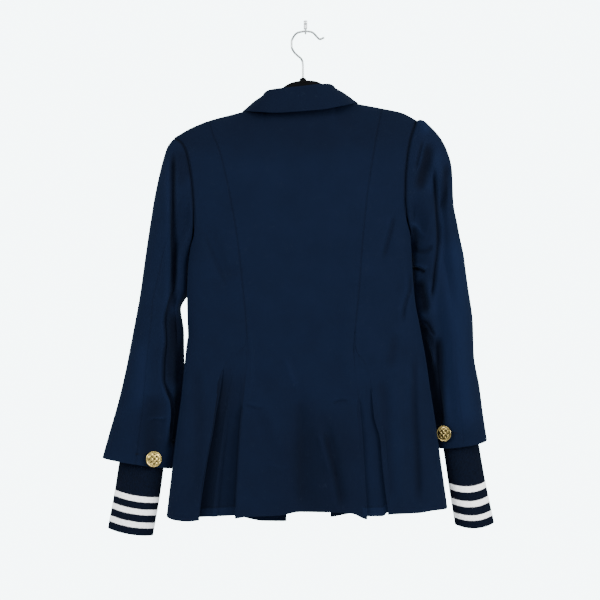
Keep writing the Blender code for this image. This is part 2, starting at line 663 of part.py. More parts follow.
def build_sleeves(parts):
    """Two-piece sleeves: the upper piece from the front arm seam over the outside, the under piece inside."""
    back, front = smooth(ARM_SEAMS, "way", "back"), smooth(ARM_SEAMS, "way", "front")
    seam_back, seam_front = np.radians(back(WAYS)), np.radians(front(WAYS))
    for name, (side, sections, creases, _) in SLEEVES.items():
        grids = []
        for start, end, count in (
            (seam_front, seam_back, 15), (seam_back, seam_front + 2 * math.pi, 11),
        ):
            angles = sleeve_angles(WAYS, start, end, count)
            points = fitted_sleeve(side, sections, creases, WAYS, angles)
            middle = points.mean(axis=1, keepdims=True)
            down, along = np.gradient(points, axis=0), np.gradient(points, axis=1)
            normal = unit(np.cross(down, along))
            normal *= np.sign((normal * (points - middle)).sum(axis=-1).mean())
            normal[0] = armhole_normal(side, angles[0])
            grids.append([points, normal])
        (upper, n_upper), (under, n_under) = grids
        for a, b in ((-1, 0), (0, -1)):
            shared = unit(n_upper[:, a] + n_under[:, b])
            n_upper[:, a] = n_under[:, b] = shared
        for piece, points, normal in (("upper", upper, n_upper), ("under", under, n_under)):
            points = drawn_in(points, ("left", "right", "top"), SLEEVE_SEAM_GAP / 2)
            wall(f"{piece}_sleeve_{name}", points, points - WALL * normal, NAVY, parts)


def build_cuffs(parts):
    """Knitted tubes, sewn to the inside of the sleeve a little above its end."""
    angles = np.linspace(0, 2 * math.pi, 20, endpoint=False)
    for name, (side, sections, creases, cuff) in SLEEVES.items():
        top = fitted_sleeve(side, sections, creases, np.array([CUFF_SEAM_WAY]), angles[None, :])[0]
        place = by_share(cuff)
        rows = [top - CUFF_INSIDE * unit(top - top.mean(axis=0))]
        for way in np.linspace(0, 1, 7):
            at = {k: f(way) for k, f in place.items()}
            share = (1 - np.cos(angles)) / 2
            x = at["outer_across"] + share * (at["inner_across"] - at["outer_across"])
            drop = at["outer_drop"] + share * (at["inner_drop"] - at["outer_drop"])
            rows.append(np.stack([x, at["middle_y"] - at["half_depth"] * np.sin(angles), -drop], axis=-1))
        points = np.array(rows)
        centre = points.mean(axis=1, keepdims=True)
        inner = points - WALL * unit((points - centre) * np.array([1, 1, 0]))
        wall("cuff_" + name, points, inner, KNIT, parts, closed=True)


def turned(name, profile, finish, parts, steps=16):
    """A turned shape: its profile is screwed round the object's own Z."""
    mesh = bpy.data.meshes.new(name)
    points = [(r * MM, 0, h * MM) for r, h in zip(*profile.values())]
    mesh.from_pydata(points, [(i, i + 1) for i in range(len(points) - 1)], [])
    obj = add_object(name, mesh, finish, parts)
    screw = obj.modifiers.new("turn", "SCREW")
    screw.steps = screw.render_steps = steps
    screw.use_merge_vertices = True
    screw.merge_threshold = 1e-5
    screw.use_smooth_shade = True
    return obj


def aimed(point, normal):
    """A matrix at a point in millimetres, with its Z along the normal."""
    turn = Vector(normal).to_track_quat("Z", "Y").to_matrix().to_4x4()
    return Matrix.Translation(Vector(point) * MM) @ turn


def build_buttons(parts):
    """Shank buttons on the sleeve ends and two on the left front."""
    for name, (way, degrees) in CUFF_BUTTONS.items():
        side, sections, creases, _ = SLEEVES[name]
        ways = way + np.array([-0.02, 0, 0.02])
        angles = np.radians(np.tile(degrees + np.array([-8.0, 0, 8.0]), (3, 1)))
        patch = fitted_sleeve(side, sections, creases, ways, angles)
        normal = normals_of(patch, np.array([0, -1.0, 0]))[1, 1]
        button = turned("cuff_button_" + name, BUTTON_PROFILE, GOLD, parts)
        button.matrix_world = aimed(patch[1, 1], normal)
    for name, drop in FRONT_BUTTONS.items():
        across = float(front_left_x(drop)) - FRONT_BUTTON_INSET
        button = turned("front_button_" + name, BUTTON_PROFILE, GOLD, parts)
        button.matrix_world = aimed((across, front_face(across, drop), -drop), (0, 1, 0))


def collar_profile(fold, edge, seam, out):
    """Stand up from the neck seam, over the fold, and down the fall to the edge."""
    up = np.array([0, 0, 1.0])
    g = FOLD_HALF_GAP
    return np.array([
        seam,
        seam + 0.55 * (fold - g * out - seam),
        fold - g * out - 3.2 * up,
        fold - 0.6 * g * out - 0.8 * up,
        fold + 0.5 * g * out - 0.6 * up,
        fold + 1.1 * g * out - 3.2 * up,
        fold + 0.4 * (edge - fold) + 2.0 * out,
        fold + 0.72 * (edge - fold) + 1.2 * out,
        edge,
    ])


def collar_points(count):
    """A row for each section from one front end, round the back of the neck, to the other."""
    place = by_share(COLLAR)
    rows = []
    for way in np.linspace(-1, 1, count):
        at = {name: float(f(abs(way))) for name, f in place.items()}
        side = -1 if way < 0 else 1
        fold, edge, seam = (
            np.array([side * at[line + "_x"], at[line + "_y"], at[line + "_z"]])
            for line in ("fold", "edge", "seam")
        )
        out = unit((edge - fold) * np.array([1, 1, 0]))
        local = collar_profile(fold, edge, seam, out)
        x = COLLAR_MIDDLE[0] + local[:, 0] * math.cos(TILT) - local[:, 2] * math.sin(TILT)
        z = COLLAR_MIDDLE[1] + local[:, 2] * math.cos(TILT) + local[:, 0] * math.sin(TILT)
        rows.append(np.stack([x, local[:, 1], z], axis=-1))
    return np.array(rows)


def build_collar(parts):
    """Stand and fall in one piece, from one end of the neck seam round the back to the other."""
    points = collar_points(31)
    down, along = np.gradient(points, axis=1), np.gradient(points, axis=0)
    normal = unit(np.cross(along, down))
    fall = normal[len(normal) // 2, -2]
    if fall[1] > 0:
        normal = -normal
    wall("collar", points, points - WALL * normal, NAVY, parts)


def build_hanger(parts):
    """A slim arm each way, arched at the neck, as a flat outline with a soft edge."""
    arch = smooth(HANGER_ARCH, "out", "height")
    start, end = HANGER_BLEND

    def top_height(across):
        out = across - HANGER_MIDDLE[0]
        free = HANGER_MIDDLE[1] + float(arch(abs(out))) + out * math.tan(TILT)
        under_cloth = -float(shoulder_drop(across)) - HANGER_UNDER_CLOTH
        blend = float(ease((abs(out) - start) / (end - start)))
        return (1 - blend) * free + blend * under_cloth - HANGER_BEVEL

    half_bump, bump = NECK_BUMP
    left_end, right_end = HANGER_ENDS
    middle = HANGER_MIDDLE[0]
    left = list(np.linspace(left_end + 4, middle - half_bump, 16))
    right = list(np.linspace(middle + half_bump, right_end - 4, 16))
    bump_ends = [(middle + k * (half_bump - 0.6), HANGER_MIDDLE[1] + bump) for k in (-1, 1)]
    top = [(x, top_height(x)) for x in left] + bump_ends + [(x, top_height(x)) for x in right]

    def arm_depth(across):
        out = min(abs(across - middle) / (right_end - middle), 1)
        return ARM_DEPTHS[0] + (ARM_DEPTHS[1] - ARM_DEPTHS[0]) * out

    low = [(x, top_height(x) - arm_depth(x)) for x in reversed(left[1::2] + right[0::2])]
    right_tip, left_tip = ((x, top_height(x) - ARM_DEPTHS[1] / 2) for x in (right_end, left_end))
    outline = [*top, right_tip, *low, left_tip]
    curve = bpy.data.curves.new("hanger_body", "CURVE")
    curve.dimensions = "2D"
    curve.fill_mode = "BOTH"
    curve.extrude = (HANGER_THICK / 2 - HANGER_BEVEL) * MM
    curve.bevel_depth = HANGER_BEVEL * MM
    curve.bevel_resolution = 0
    spline = curve.splines.new("POLY")
    spline.points.add(len(outline) - 1)
    for point, (x, z) in zip(spline.points, outline):
        point.co = (x * MM, z * MM, 0, 1)
    spline.use_cyclic_u = True
    obj = add_object("hanger_body", curve, VELVET, parts)
    obj.matrix_world = Matrix.Translation((0, HANGER_Y * MM, 0)) @ Matrix.Rotation(math.pi / 2, 4, "X")


def wire_object(name, route, radius, finish, parts, resolution=2):
    curve = bpy.data.curves.new(name, "CURVE")
    curve.dimensions = "3D"
    curve.bevel_depth = radius * MM
    curve.bevel_resolution = resolution
    curve.use_fill_caps = True
    spline = curve.splines.new("POLY")
    spline.points.add(len(route) - 1)
    for point, place in zip(spline.points, route):
        point.co = (*(np.array(place) * MM), 1)
    return add_object(name, curve, finish, parts)


def rounded_route(knots, count):
    """Points along a smooth curve through the knots, evenly by knot number."""
    knots = np.array(knots, float)
    n = np.arange(len(knots))
    columns = [smooth({"n": n, "v": knots[:, k]}, "n", "v") for k in range(3)]
    return np.stack([f(np.linspace(0, len(knots) - 1, count)) for f in columns], axis=-1)


def build_hook(parts):
    """The hanger's wire hook, and the wall hook that carries it: a plate, a nail head and a bent wire."""
    route = [(x, HANGER_Y, -d) for x, d in zip(*WIRE.values())]
    wire_object("hanger_hook", rounded_route(route, 44), WIRE_RADIUS, CHROME, parts)
    bpy.ops.mesh.primitive_cube_add(size=1)
    plate = bpy.context.object
    plate.name = plate.data.name = "wall_plate"
    width, thick, height = PLATE_SIZE
    plate.data.transform(Matrix.Diagonal((width * MM, thick * MM, height * MM, 1)))
    plate.location = (0, -thick / 2 * MM, PLATE_MIDDLE_UP * MM)
    for collection in plate.users_collection:
        collection.objects.unlink(plate)
    parts.objects.link(plate)
    plate.data.materials.append(principled("wall_plate", STEEL))
    nail = turned("wall_nail", NAIL_PROFILE, STEEL, parts)
    nail.matrix_world = aimed((0, -thick - SEAM_GAP, NAIL_UP), (0, -1, 0))
    route = [(0, y, z) for y, z in zip(*WALL_HOOK.values())]
    wire_object("wall_hook", rounded_route(route, 20), WALL_WIRE_RADIUS, STEEL, parts)


def clear_scene():
    for obj in list(bpy.data.objects):
        bpy.data.objects.remove(obj, do_unlink=True)


def main():
    clear_scene()
    parts = bpy.data.collections.new("blazer")
    bpy.context.scene.collection.children.link(parts)
    build_back(parts)
    build_inserts(parts)
    build_fronts(parts)
    build_sleeves(parts)
    build_cuffs(parts)
    build_buttons(parts)
    build_collar(parts)
    build_hanger(parts)
    build_hook(parts)


main()
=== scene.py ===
"""Dresses a woman's navy blazer that hangs open on a slim velvet hanger from a small wall hook.

The blazer is seen from behind. Tables are in millimetres: across is along +X, drop is down from the
origin, and depth is along +Y, with the wall at 0. Meshes are in metres. Left and right are the picture's.
"""

import logging
import math
from collections.abc import Callable, Sequence
from dataclasses import dataclass, field
from enum import Enum

import bpy
import numpy as np
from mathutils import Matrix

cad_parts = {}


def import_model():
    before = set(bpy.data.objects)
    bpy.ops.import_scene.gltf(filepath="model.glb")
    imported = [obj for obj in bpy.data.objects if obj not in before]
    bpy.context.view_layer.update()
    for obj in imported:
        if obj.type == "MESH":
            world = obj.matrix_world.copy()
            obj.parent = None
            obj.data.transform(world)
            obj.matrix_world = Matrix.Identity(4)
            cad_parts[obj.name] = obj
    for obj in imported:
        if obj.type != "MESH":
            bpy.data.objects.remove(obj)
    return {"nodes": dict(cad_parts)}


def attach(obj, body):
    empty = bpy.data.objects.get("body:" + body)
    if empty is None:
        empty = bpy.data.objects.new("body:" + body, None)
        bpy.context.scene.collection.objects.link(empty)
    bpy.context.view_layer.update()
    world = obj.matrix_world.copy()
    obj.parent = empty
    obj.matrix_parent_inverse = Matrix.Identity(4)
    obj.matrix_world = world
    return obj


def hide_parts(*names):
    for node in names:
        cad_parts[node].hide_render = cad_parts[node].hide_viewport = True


Array = np.ndarray
Piece = bpy.types.Object
Socket = bpy.types.NodeSocket
Rows = Sequence[Sequence[float]]
Line = Callable[[Array], Array]

log = logging.getLogger("blazer")

MM = 0.001
BODY = "root"
FROM_WALL = np.array([0, -1.0, 0])
TO_WALL = np.array([0, 1.0, 0])


class Side(Enum):
    """A side of the picture, with the sign of its across."""

    LEFT = -1
    RIGHT = 1

    @property
    def word(self) -> str:
        """The side as the names of pieces and nodes say it."""
        return self.name.lower()


class Slot(Enum):
    """The record's material slots."""

    CLOTH = "navy_cloth"
    KNIT = "cuff_knit"
    GOLD = "gold_button"
    VELVET = "hanger_velvet"
    CHROME = "hook_chrome"
    STEEL = "wall_steel"


# Curves and small sums


def smoothstep(amount: Array) -> Array:
    """0 to 1 with level ends: t squared times 3 less 2t."""
    t = np.clip(amount, 0, 1)
    return t * t * (3 - 2 * t)


def bell(offset: Array, half_width: float) -> Array:
    """1 where there is no offset, and exp of minus the square of offset over half width beside it."""
    return np.exp(-((offset / half_width) ** 2))


def unit(vectors: Array) -> Array:
    """The vectors at length 1, along their last axis."""
    vectors = np.asarray(vectors, float)
    return vectors / np.maximum(np.linalg.norm(vectors, axis=-1, keepdims=True), 1e-12)


def even(count: int) -> Array:
    """Even shares from 0 to 1."""
    return np.linspace(0, 1, count)


def turns(count: int) -> Array:
    """Even angles once round, the last short of the first."""
    return np.linspace(0, 2 * math.pi, count, endpoint=False)


def squared(angle: Array, power: float) -> tuple[Array, Array]:
    """Cosine and sine with their sizes raised to a power: below 1 it makes a square of the circle."""
    cosine, sine = np.cos(angle), np.sin(angle)
    return np.sign(cosine) * np.abs(cosine) ** power, np.sign(sine) * np.abs(sine) ** power


@dataclass(frozen=True)
class Curve:
    """A cubic through knots that never swings past them. The values may have axes of their own."""

    knots: Array
    values: Array

    def __call__(self, where: Array) -> Array:
        """Hermite cubic with harmonic-mean tangents, so that it keeps the rise and fall of its knots.

        Args:
            where: Places along the knots.

        Returns:
            The value at each place, held at the ends: the axes of the places and then those of a value.
        """
        x, y = self.knots, self.values
        value_axes = (1,) * (y.ndim - 1)
        step = np.diff(x).reshape(-1, *value_axes)
        slope = np.diff(y, axis=0) / step
        tangent = np.zeros_like(y)
        same_way = slope[:-1] * slope[1:] > 0
        before, after = 2 * step[1:] + step[:-1], step[1:] + 2 * step[:-1]
        one, other = np.where(same_way, slope[:-1], 1), np.where(same_way, slope[1:], 1)
        tangent[1:-1] = np.where(same_way, 3 * (step[:-1] + step[1:]) / (before / one + after / other), 0)
        tangent[0], tangent[-1] = slope[0], slope[-1]
        where = np.clip(where, x[0], x[-1])
        i = np.clip(np.searchsorted(x, where, "right") - 1, 0, len(step) - 1)
        t = np.reshape(where - x[i], np.shape(where) + value_axes) / step[i]
        rise = y[i] * (1 + 2 * t) * (1 - t) ** 2 + y[i + 1] * t**2 * (3 - 2 * t)
        return rise + step[i] * (tangent[i] * t * (1 - t) ** 2 - tangent[i + 1] * t**2 * (1 - t))


def curve(rows: Rows, column: int = 1) -> Curve:
    """A column of the rows as a smooth function of their first column."""
    values = np.array(rows, float)
    return Curve(values[:, 0], values[:, column])


def sample(rows: Rows, shares: Array) -> Array:
    """The rows, read smoothly at shares of the way down them."""
    values = np.array(rows, float)
    return Curve(even(len(values)), values)(shares)


@dataclass(frozen=True)
class Crease:
    """A line of folded cloth, seen square on.

    Its section is a bell of the half width. A bank stands beside it, as a share of the height: plus on the
    right of a path that runs down, minus on the left. It fades at both ends of the path, over a share of it.
    """

    path: Rows
    half_width: float
    height: float
    bank: float = 0.0
    ends: float = 0.25
    bank_at: float = 1.9
    bank_width: float = 1.3

    def line(self) -> Array:
        """Points along the smooth path."""
        return sample(self.path, even(5 * len(self.path)))

    def relief(self, across: Array, drop: Array) -> Array:
        """Height of the crease at each place.

        Args:
            across: Across of the places.
            drop: Drop of the places.

        Returns:
            Heights in millimetres, plus towards the viewer.
        """
        line = self.line()
        legs = np.diff(line, axis=0)
        lengths = np.linalg.norm(legs, axis=1)
        starts = np.concatenate([[0], np.cumsum(lengths)[:-1]])
        low, high = line.min(axis=0) - 4 * self.half_width, line.max(axis=0) + 4 * self.half_width
        near = (across > low[0]) & (across < high[0]) & (drop > low[1]) & (drop < high[1])
        relief = np.zeros(np.shape(across))
        if not near.any():
            return relief
        dx, dz = across[near][:, None] - line[:-1, 0], drop[near][:, None] - line[:-1, 1]
        share = np.clip((dx * legs[:, 0] + dz * legs[:, 1]) / lengths**2, 0, 1)
        off_x, off_z = dx - share * legs[:, 0], dz - share * legs[:, 1]
        best = (off_x**2 + off_z**2).argmin(axis=1)[:, None]
        off_x, off_z = (np.take_along_axis(v, best, 1)[:, 0] for v in (off_x, off_z))
        run = (starts + share * lengths) / lengths.sum()
        run, best = np.take_along_axis(run, best, 1)[:, 0], best[:, 0]
        off = np.hypot(off_x, off_z) * np.sign(legs[best, 1] * off_x - legs[best, 0] * off_z)
        fade = smoothstep(run / self.ends) * smoothstep((1 - run) / self.ends)
        way = np.sign(self.bank) if self.bank else 1.0
        beside = bell(off * way - self.bank_at * self.half_width, self.bank_width * self.half_width)
        bank = abs(self.bank * self.height) * beside
        relief[near] = fade * (self.height * bell(off, self.half_width) + bank)
        return relief


def relief_of(creases: Sequence[Crease], across: Array, drop: Array) -> Array:
    """Sum of several creases at each place."""
    return sum((c.relief(across, drop) for c in creases), np.zeros(np.shape(across)))


def ripple(places: Array, waves: Rows) -> Array:
    """Sum of sines, each given as (length of the wave, height, share of a turn)."""
    return sum(h * np.sin(2 * math.pi * (places / length + turn)) for length, h, turn in waves)


# Grids of points and the meshes made from them


def grid_normals(points: Array, toward: Array, closed: bool = False) -> Array:
    """Unit normals of a grid, from the cross product of its two directions.

    Args:
        points: Rows by columns by 3.
        toward: A direction or a direction for each point, which the normals face on the whole.
        closed: True where the last column joins the first.

    Returns:
        An array like points.
    """
    down = np.gradient(points, axis=0)
    if closed:
        along = np.roll(points, -1, axis=1) - np.roll(points, 1, axis=1)
    else:
        along = np.gradient(points, axis=1)
    normal = unit(np.cross(down, along))
    return normal * np.sign((normal * toward).sum(axis=-1).mean())


def arc_lengths(points: Array, axis: int) -> Array:
    """Length walked along an axis of a grid up to each point, in the points' unit."""
    walked = np.cumsum(np.linalg.norm(np.diff(points, axis=axis), axis=-1), axis=axis)
    return np.concatenate([np.zeros_like(np.take(walked, [0], axis)), walked], axis=axis)


def new_object(name: str, points: Array, faces: list, corners_uv: Array) -> Piece:
    """A smooth shaded mesh object at the origin, with one UV for each face corner.

    Args:
        name: Name of the piece.
        points: Points in millimetres.
        faces: Lists of point numbers.
        corners_uv: UV of each corner, in the order of the faces, in metres of cloth.

    Returns:
        The object, linked to the scene.
    """
    mesh = bpy.data.meshes.new(name)
    mesh.from_pydata((points * MM).tolist(), [], faces)
    layer = mesh.uv_layers.new(name="cloth")
    layer.data.foreach_set("uv", np.asarray(corners_uv, np.float32).ravel())
    mesh.shade_smooth()
    obj = bpy.data.objects.new(name, mesh)
    bpy.context.scene.collection.objects.link(obj)
    return obj


@dataclass
class Cloth:
    """A piece of cloth: a grid of outer points, its normals, its thickness and its fold attribute."""

    name: str
    points: Array
    normals: Array
    thickness: float = 1.4
    closed: bool = False
    rim_bulge: float = 0.45
    # Painted shade below 0 and painted highlight above 0, for the finish to mix into the colour
    fold: Array | None = None
    crisp: bool = True
    crisp_angle: float = math.radians(38)

    def cut_size(self) -> tuple[float, float, float]:
        """Measures the cloth laid flat, over its folds.

        Returns:
            Width and length in metres, and area in square metres.
        """
        grid = np.concatenate([self.points, self.points[:, :1]], axis=1) if self.closed else self.points
        width = arc_lengths(grid, 1)[:, -1].max() * MM
        length = arc_lengths(grid, 0)[-1].max() * MM
        a, b, c, d = grid[:-1, :-1], grid[:-1, 1:], grid[1:, 1:], grid[1:, :-1]
        area = 0.5 * np.linalg.norm(np.cross(c - a, d - b), axis=-1).sum() * MM**2
        return width, length, area

    def build(self) -> Piece:
        """Joins the outer grid and the same grid moved inwards by rounded rims, as one closed piece.

        The UV's second number is the cloth's length down to its lower edge, in metres. The attribute 'fold'
        runs from -1 in a deep fold to 1 on a raised one: painted shade below 0 and painted highlight above
        it.

        Returns:
            The mesh object.
        """
        rows, columns = self.points.shape[:2]
        outer = self.points.reshape(-1, 3)
        inner = (self.points - self.thickness * self.normals).reshape(-1, 3)
        index = np.arange(rows * columns).reshape(rows, columns)
        walked_across, walked_down = arc_lengths(self.points, 1), arc_lengths(self.points, 0)
        from_hem = walked_down[-1] - walked_down
        uv = np.stack([walked_across - walked_across[:, columns // 2, None], from_hem], axis=-1) * MM
        if self.closed:
            index = np.concatenate([index, index[:, :1]], axis=1)
            last = np.linalg.norm(self.points[:, 0] - self.points[:, -1], axis=-1) * MM
            end = uv[:, -1:] + np.stack([last, np.zeros(rows)], axis=-1)[:, None]
            uv = np.concatenate([uv, end], axis=1)
        corners = ((0, 0), (0, 1), (1, 1), (1, 0))
        span = index.shape[1] - 1
        sheet = np.stack([index[i : rows - 1 + i, j : span + j] for i, j in corners], axis=-1).reshape(-1, 4)
        sheet_uv = np.stack([uv[i : rows - 1 + i, j : span + j] for i, j in corners], axis=-2)
        sheet_uv = sheet_uv.reshape(-1, 4, 2)
        under = rows * columns
        faces = [sheet, sheet[:, ::-1] + under]
        uvs = [sheet_uv, sheet_uv[:, ::-1]]
        points = [outer, inner]
        count = 2 * under
        for row, column in self.rims(rows, span + 1):
            ring = index[row, column]
            beside = column if self.closed else np.clip(column, 1, columns - 2)
            inside = index[np.clip(row, 1, rows - 2), beside]
            out = unit(outer[ring] - outer[inside])
            middle = (outer[ring] + inner[ring]) / 2 + self.rim_bulge * self.thickness * out
            points.append(middle[:-1])
            mid = count + np.arange(len(ring) - 1)
            mid = np.concatenate([mid, mid[:1]])
            count += len(ring) - 1
            ring_uv = uv[row, column]
            strip_uv = np.stack([ring_uv[1:], ring_uv[:-1], ring_uv[:-1], ring_uv[1:]], axis=1)
            for one, other in ((ring, mid), (mid, ring + under)):
                faces.append(np.stack([one[1:], one[:-1], other[:-1], other[1:]], axis=-1))
                uvs.append(strip_uv)
        down, along = np.gradient(self.points, axis=0), np.gradient(self.points, axis=1)
        facing_in = (np.cross(along, down) * self.normals).sum(axis=-1).mean() > 0
        all_faces, all_uv = np.concatenate(faces), np.concatenate(uvs)
        if facing_in:
            all_faces, all_uv = all_faces[:, ::-1], all_uv[:, ::-1]
        piece = new_object(self.name, np.concatenate(points), all_faces.tolist(), all_uv)
        if self.crisp:
            piece.data.set_sharp_from_angle(angle=self.crisp_angle)
        # The fold attribute: painted shade and painted highlight on both faces, none on the rims
        if self.fold is not None:
            sheet_fold = np.clip(self.fold, -1, 1).ravel()
            folds = np.concatenate([sheet_fold, sheet_fold, np.zeros(count - 2 * under)]).astype(np.float32)
            piece.data.attributes.new("fold", "FLOAT", "POINT").data.foreach_set("value", folds)
        return piece

    def rims(self, rows: int, columns: int) -> list[tuple[Array, Array]]:
        """Rows and columns of the points round each open edge, ending where it starts.

        Args:
            rows: Number of rows in the grid.
            columns: Number of columns in it.

        Returns:
            For each edge, the row and the column of each of its points.
        """
        up, out = np.arange(rows), np.arange(columns)
        if self.closed:
            return [(np.zeros(columns, int), out), (np.full(columns, rows - 1), out[::-1])]
        row = [np.zeros(columns - 1, int), up[:-1], np.full(columns - 1, rows - 1), up[:0:-1], [0]]
        column = [out[:-1], np.full(rows - 1, columns - 1), out[:0:-1], np.zeros(rows - 1, int), [0]]
        return [(np.concatenate(row).astype(int), np.concatenate(column).astype(int))]


def closed_solid(name: str, points: Array, middle_caps: bool = True) -> Piece:
    """A solid from rings of points, each joined to the next, with a fan over each end.

    Args:
        name: Name of the piece.
        points: Rings by points by 3, in millimetres.
        middle_caps: True for a fan to a middle point, and False for rings that are joined end to end.

    Returns:
        The mesh object.
    """
    rings, around = points.shape[:2]
    index = np.arange(rings * around).reshape(rings, around)
    index = np.concatenate([index, index[:, :1]], axis=1)
    if not middle_caps:
        index = np.concatenate([index, index[:1]], axis=0)
    a, b, c, d = index[:-1, :-1], index[:-1, 1:], index[1:, 1:], index[1:, :-1]
    quads = np.stack([a, b, c, d], axis=-1).reshape(-1, 4)
    walked = arc_lengths(points, 0).mean(axis=1) * MM
    if not middle_caps:
        walked = np.append(walked, walked[-1])
    girth = 3 * np.linalg.norm(points[:, 0] - points[:, around // 2], axis=-1).max() * MM
    uv = np.stack(np.meshgrid(even(around + 1) * girth, walked), axis=-1)
    corners = [uv[:-1, :-1], uv[:-1, 1:], uv[1:, 1:], uv[1:, :-1]]
    quad_uv = np.stack(corners, axis=-2).reshape(-1, 2)
    all_points = [points.reshape(-1, 3)]
    faces = quads.tolist()
    cap_uv = []
    if middle_caps:
        for ring, flip in ((0, True), (-1, False)):
            tip = rings * around + len(all_points) - 1
            all_points.append(points[ring].mean(axis=0, keepdims=True))
            one, other = index[ring, :-1], index[ring, 1:]
            fan = np.stack([other, one, np.full(around, tip)], axis=-1)
            faces += (fan if flip else fan[:, [1, 0, 2]]).tolist()
            cap_uv.append(np.tile(uv[ring, :1], (3 * around, 1)))
    place = np.concatenate(all_points)
    axis = points.mean(axis=1, keepdims=True)
    corner = points[:-1, :-1]
    facing = np.cross(points[:-1, 1:] - corner, points[1:, :-1] - corner)
    if (facing * (points - axis)[:-1, :-1]).sum() <= 0:
        faces = [face[::-1] for face in faces]
        quad_uv = quad_uv.reshape(-1, 4, 2)[:, ::-1].reshape(-1, 2)
    return new_object(name, place, faces, np.concatenate([quad_uv, *cap_uv]))


def swept_tube(name: str, path: Array, radius: float, plane: Sequence[float], sides: int = 16) -> Piece:
    """A circle carried along a flat path, across it and the plane's own normal, and closed by small domes.

    Args:
        name: Name of the piece.
        path: Points of the middle line, in millimetres.
        radius: Radius of the circle.
        plane: Normal of the plane that the path lies in.
        sides: Points round the circle.

    Returns:
        The mesh object.
    """
    tangent = unit(np.gradient(path, axis=0))
    across = np.tile(unit(plane), (len(path), 1))
    up = np.cross(tangent, across)
    angle = turns(sides)
    dome = np.array([(0.35, 0.94), (0.75, 0.66), (0.97, 0.24)])
    start = path[0] - radius * dome[:, 1:] * tangent[0]
    end = path[-1] + radius * dome[::-1, 1:] * tangent[-1]
    middles = np.concatenate([start, path, end])
    radii = radius * np.concatenate([dome[:, 0], np.ones(len(path)), dome[::-1, 0]])
    across, up = (np.pad(v, ((len(dome), len(dome)), (0, 0)), "edge") for v in (across, up))
    ring = across[:, None] * np.cos(angle)[:, None] + up[:, None] * np.sin(angle)[:, None]
    return closed_solid(name, middles[:, None] + radii[:, None, None] * ring)


# Finishes


def shade(colour: tuple, amount: float) -> tuple:
    """A colour made lighter or darker."""
    return (*(min(c * amount, 1.0) for c in colour[:3]), 1.0)


class Nodes:
    """A material's node tree, with a Principled shader, places on the object and places on the cloth."""

    def __init__(self, name: str) -> None:
        """Starts a material that holds its shader, its output and its coordinates.

        Args:
            name: Name of the material.
        """
        self.material = bpy.data.materials.new(name)
        self.material.use_nodes = True
        self.tree = self.material.node_tree
        self.shader = self.tree.nodes["Principled BSDF"]
        coordinates = self.add("ShaderNodeTexCoord").outputs
        self.place, self.cloth = coordinates["Object"], coordinates["UV"]

    def set(self, **values: float | tuple) -> None:
        """Sets the shader's sockets; an underscore in a name stands for a space."""
        for name, value in values.items():
            self.shader.inputs[name.replace("_", " ")].default_value = value

    def add(self, kind: str, inputs: dict | None = None, **settings: object) -> bpy.types.Node:
        """Adds a node.

        Args:
            kind: Type of the node.
            inputs: Value or output socket for each input name or number.
            settings: Attributes of the node.

        Returns:
            The node.
        """
        node = self.tree.nodes.new(kind)
        for name, value in settings.items():
            setattr(node, name, value)
        for name, value in (inputs or {}).items():
            if isinstance(value, Socket):
                self.tree.links.new(value, node.inputs[name])
            else:
                node.inputs[name].default_value = value
        return node

    def math(self, operation: str, *values: object) -> Socket:
        """The result of a Math node."""
        return self.add("ShaderNodeMath", dict(enumerate(values)), operation=operation).outputs[0]

    def noise(self, scale: float, detail: float = 2.0, where: Socket | None = None) -> Socket:
        """Noise from 0 to 1 at a scale in turns per metre, on the object unless a place is given."""
        inputs = {"Vector": self.place if where is None else where, "Scale": scale, "Detail": detail}
        return self.add("ShaderNodeTexNoise", inputs).outputs["Fac"]

    def split(self, where: Socket) -> tuple[Socket, ...]:
        """A place's three numbers."""
        return tuple(self.add("ShaderNodeSeparateXYZ", {0: where}).outputs)

    def ramp(self, amount: Socket, low: tuple[float, tuple], high: tuple[float, tuple]) -> Socket:
        """A colour ramp between two stops, each a place and a colour.

        Args:
            amount: Place on the ramp.
            low: First stop.
            high: Last stop.

        Returns:
            The colour.
        """
        node = self.add("ShaderNodeValToRGB", {"Fac": amount})
        for point, (place, colour) in zip(node.color_ramp.elements, (low, high)):
            point.position, point.color = place, colour
        return node.outputs["Color"]

    def tones(
        self, amount: Socket, colour: tuple, low: tuple[float, float], high: tuple[float, float]
    ) -> Socket:
        """A ramp between two tones of a colour, each a place and what the colour is multiplied by."""
        return self.ramp(amount, *((place, shade(colour, times)) for place, times in (low, high)))

    def mix(self, amount: object, one: object, other: object) -> Socket:
        """A blend of two colours."""
        inputs = {0: amount, 6: one, 7: other}
        return self.add("ShaderNodeMix", inputs, data_type="RGBA").outputs[2]

    def attribute(self, name: str) -> Socket:
        """A number that the mesh holds at its points."""
        return self.add("ShaderNodeAttribute", attribute_name=name).outputs["Fac"]

    def link(self, output: Socket, name: str) -> None:
        """Links an output to one of the shader's inputs."""
        self.tree.links.new(output, self.shader.inputs[name])

    def bump(self, height: Socket, strength: float, distance: float) -> None:
        """Links a height to the shader's normal."""
        node = self.add("ShaderNodeBump", {"Height": height, "Strength": strength, "Distance": distance})
        self.link(node.outputs["Normal"], "Normal")


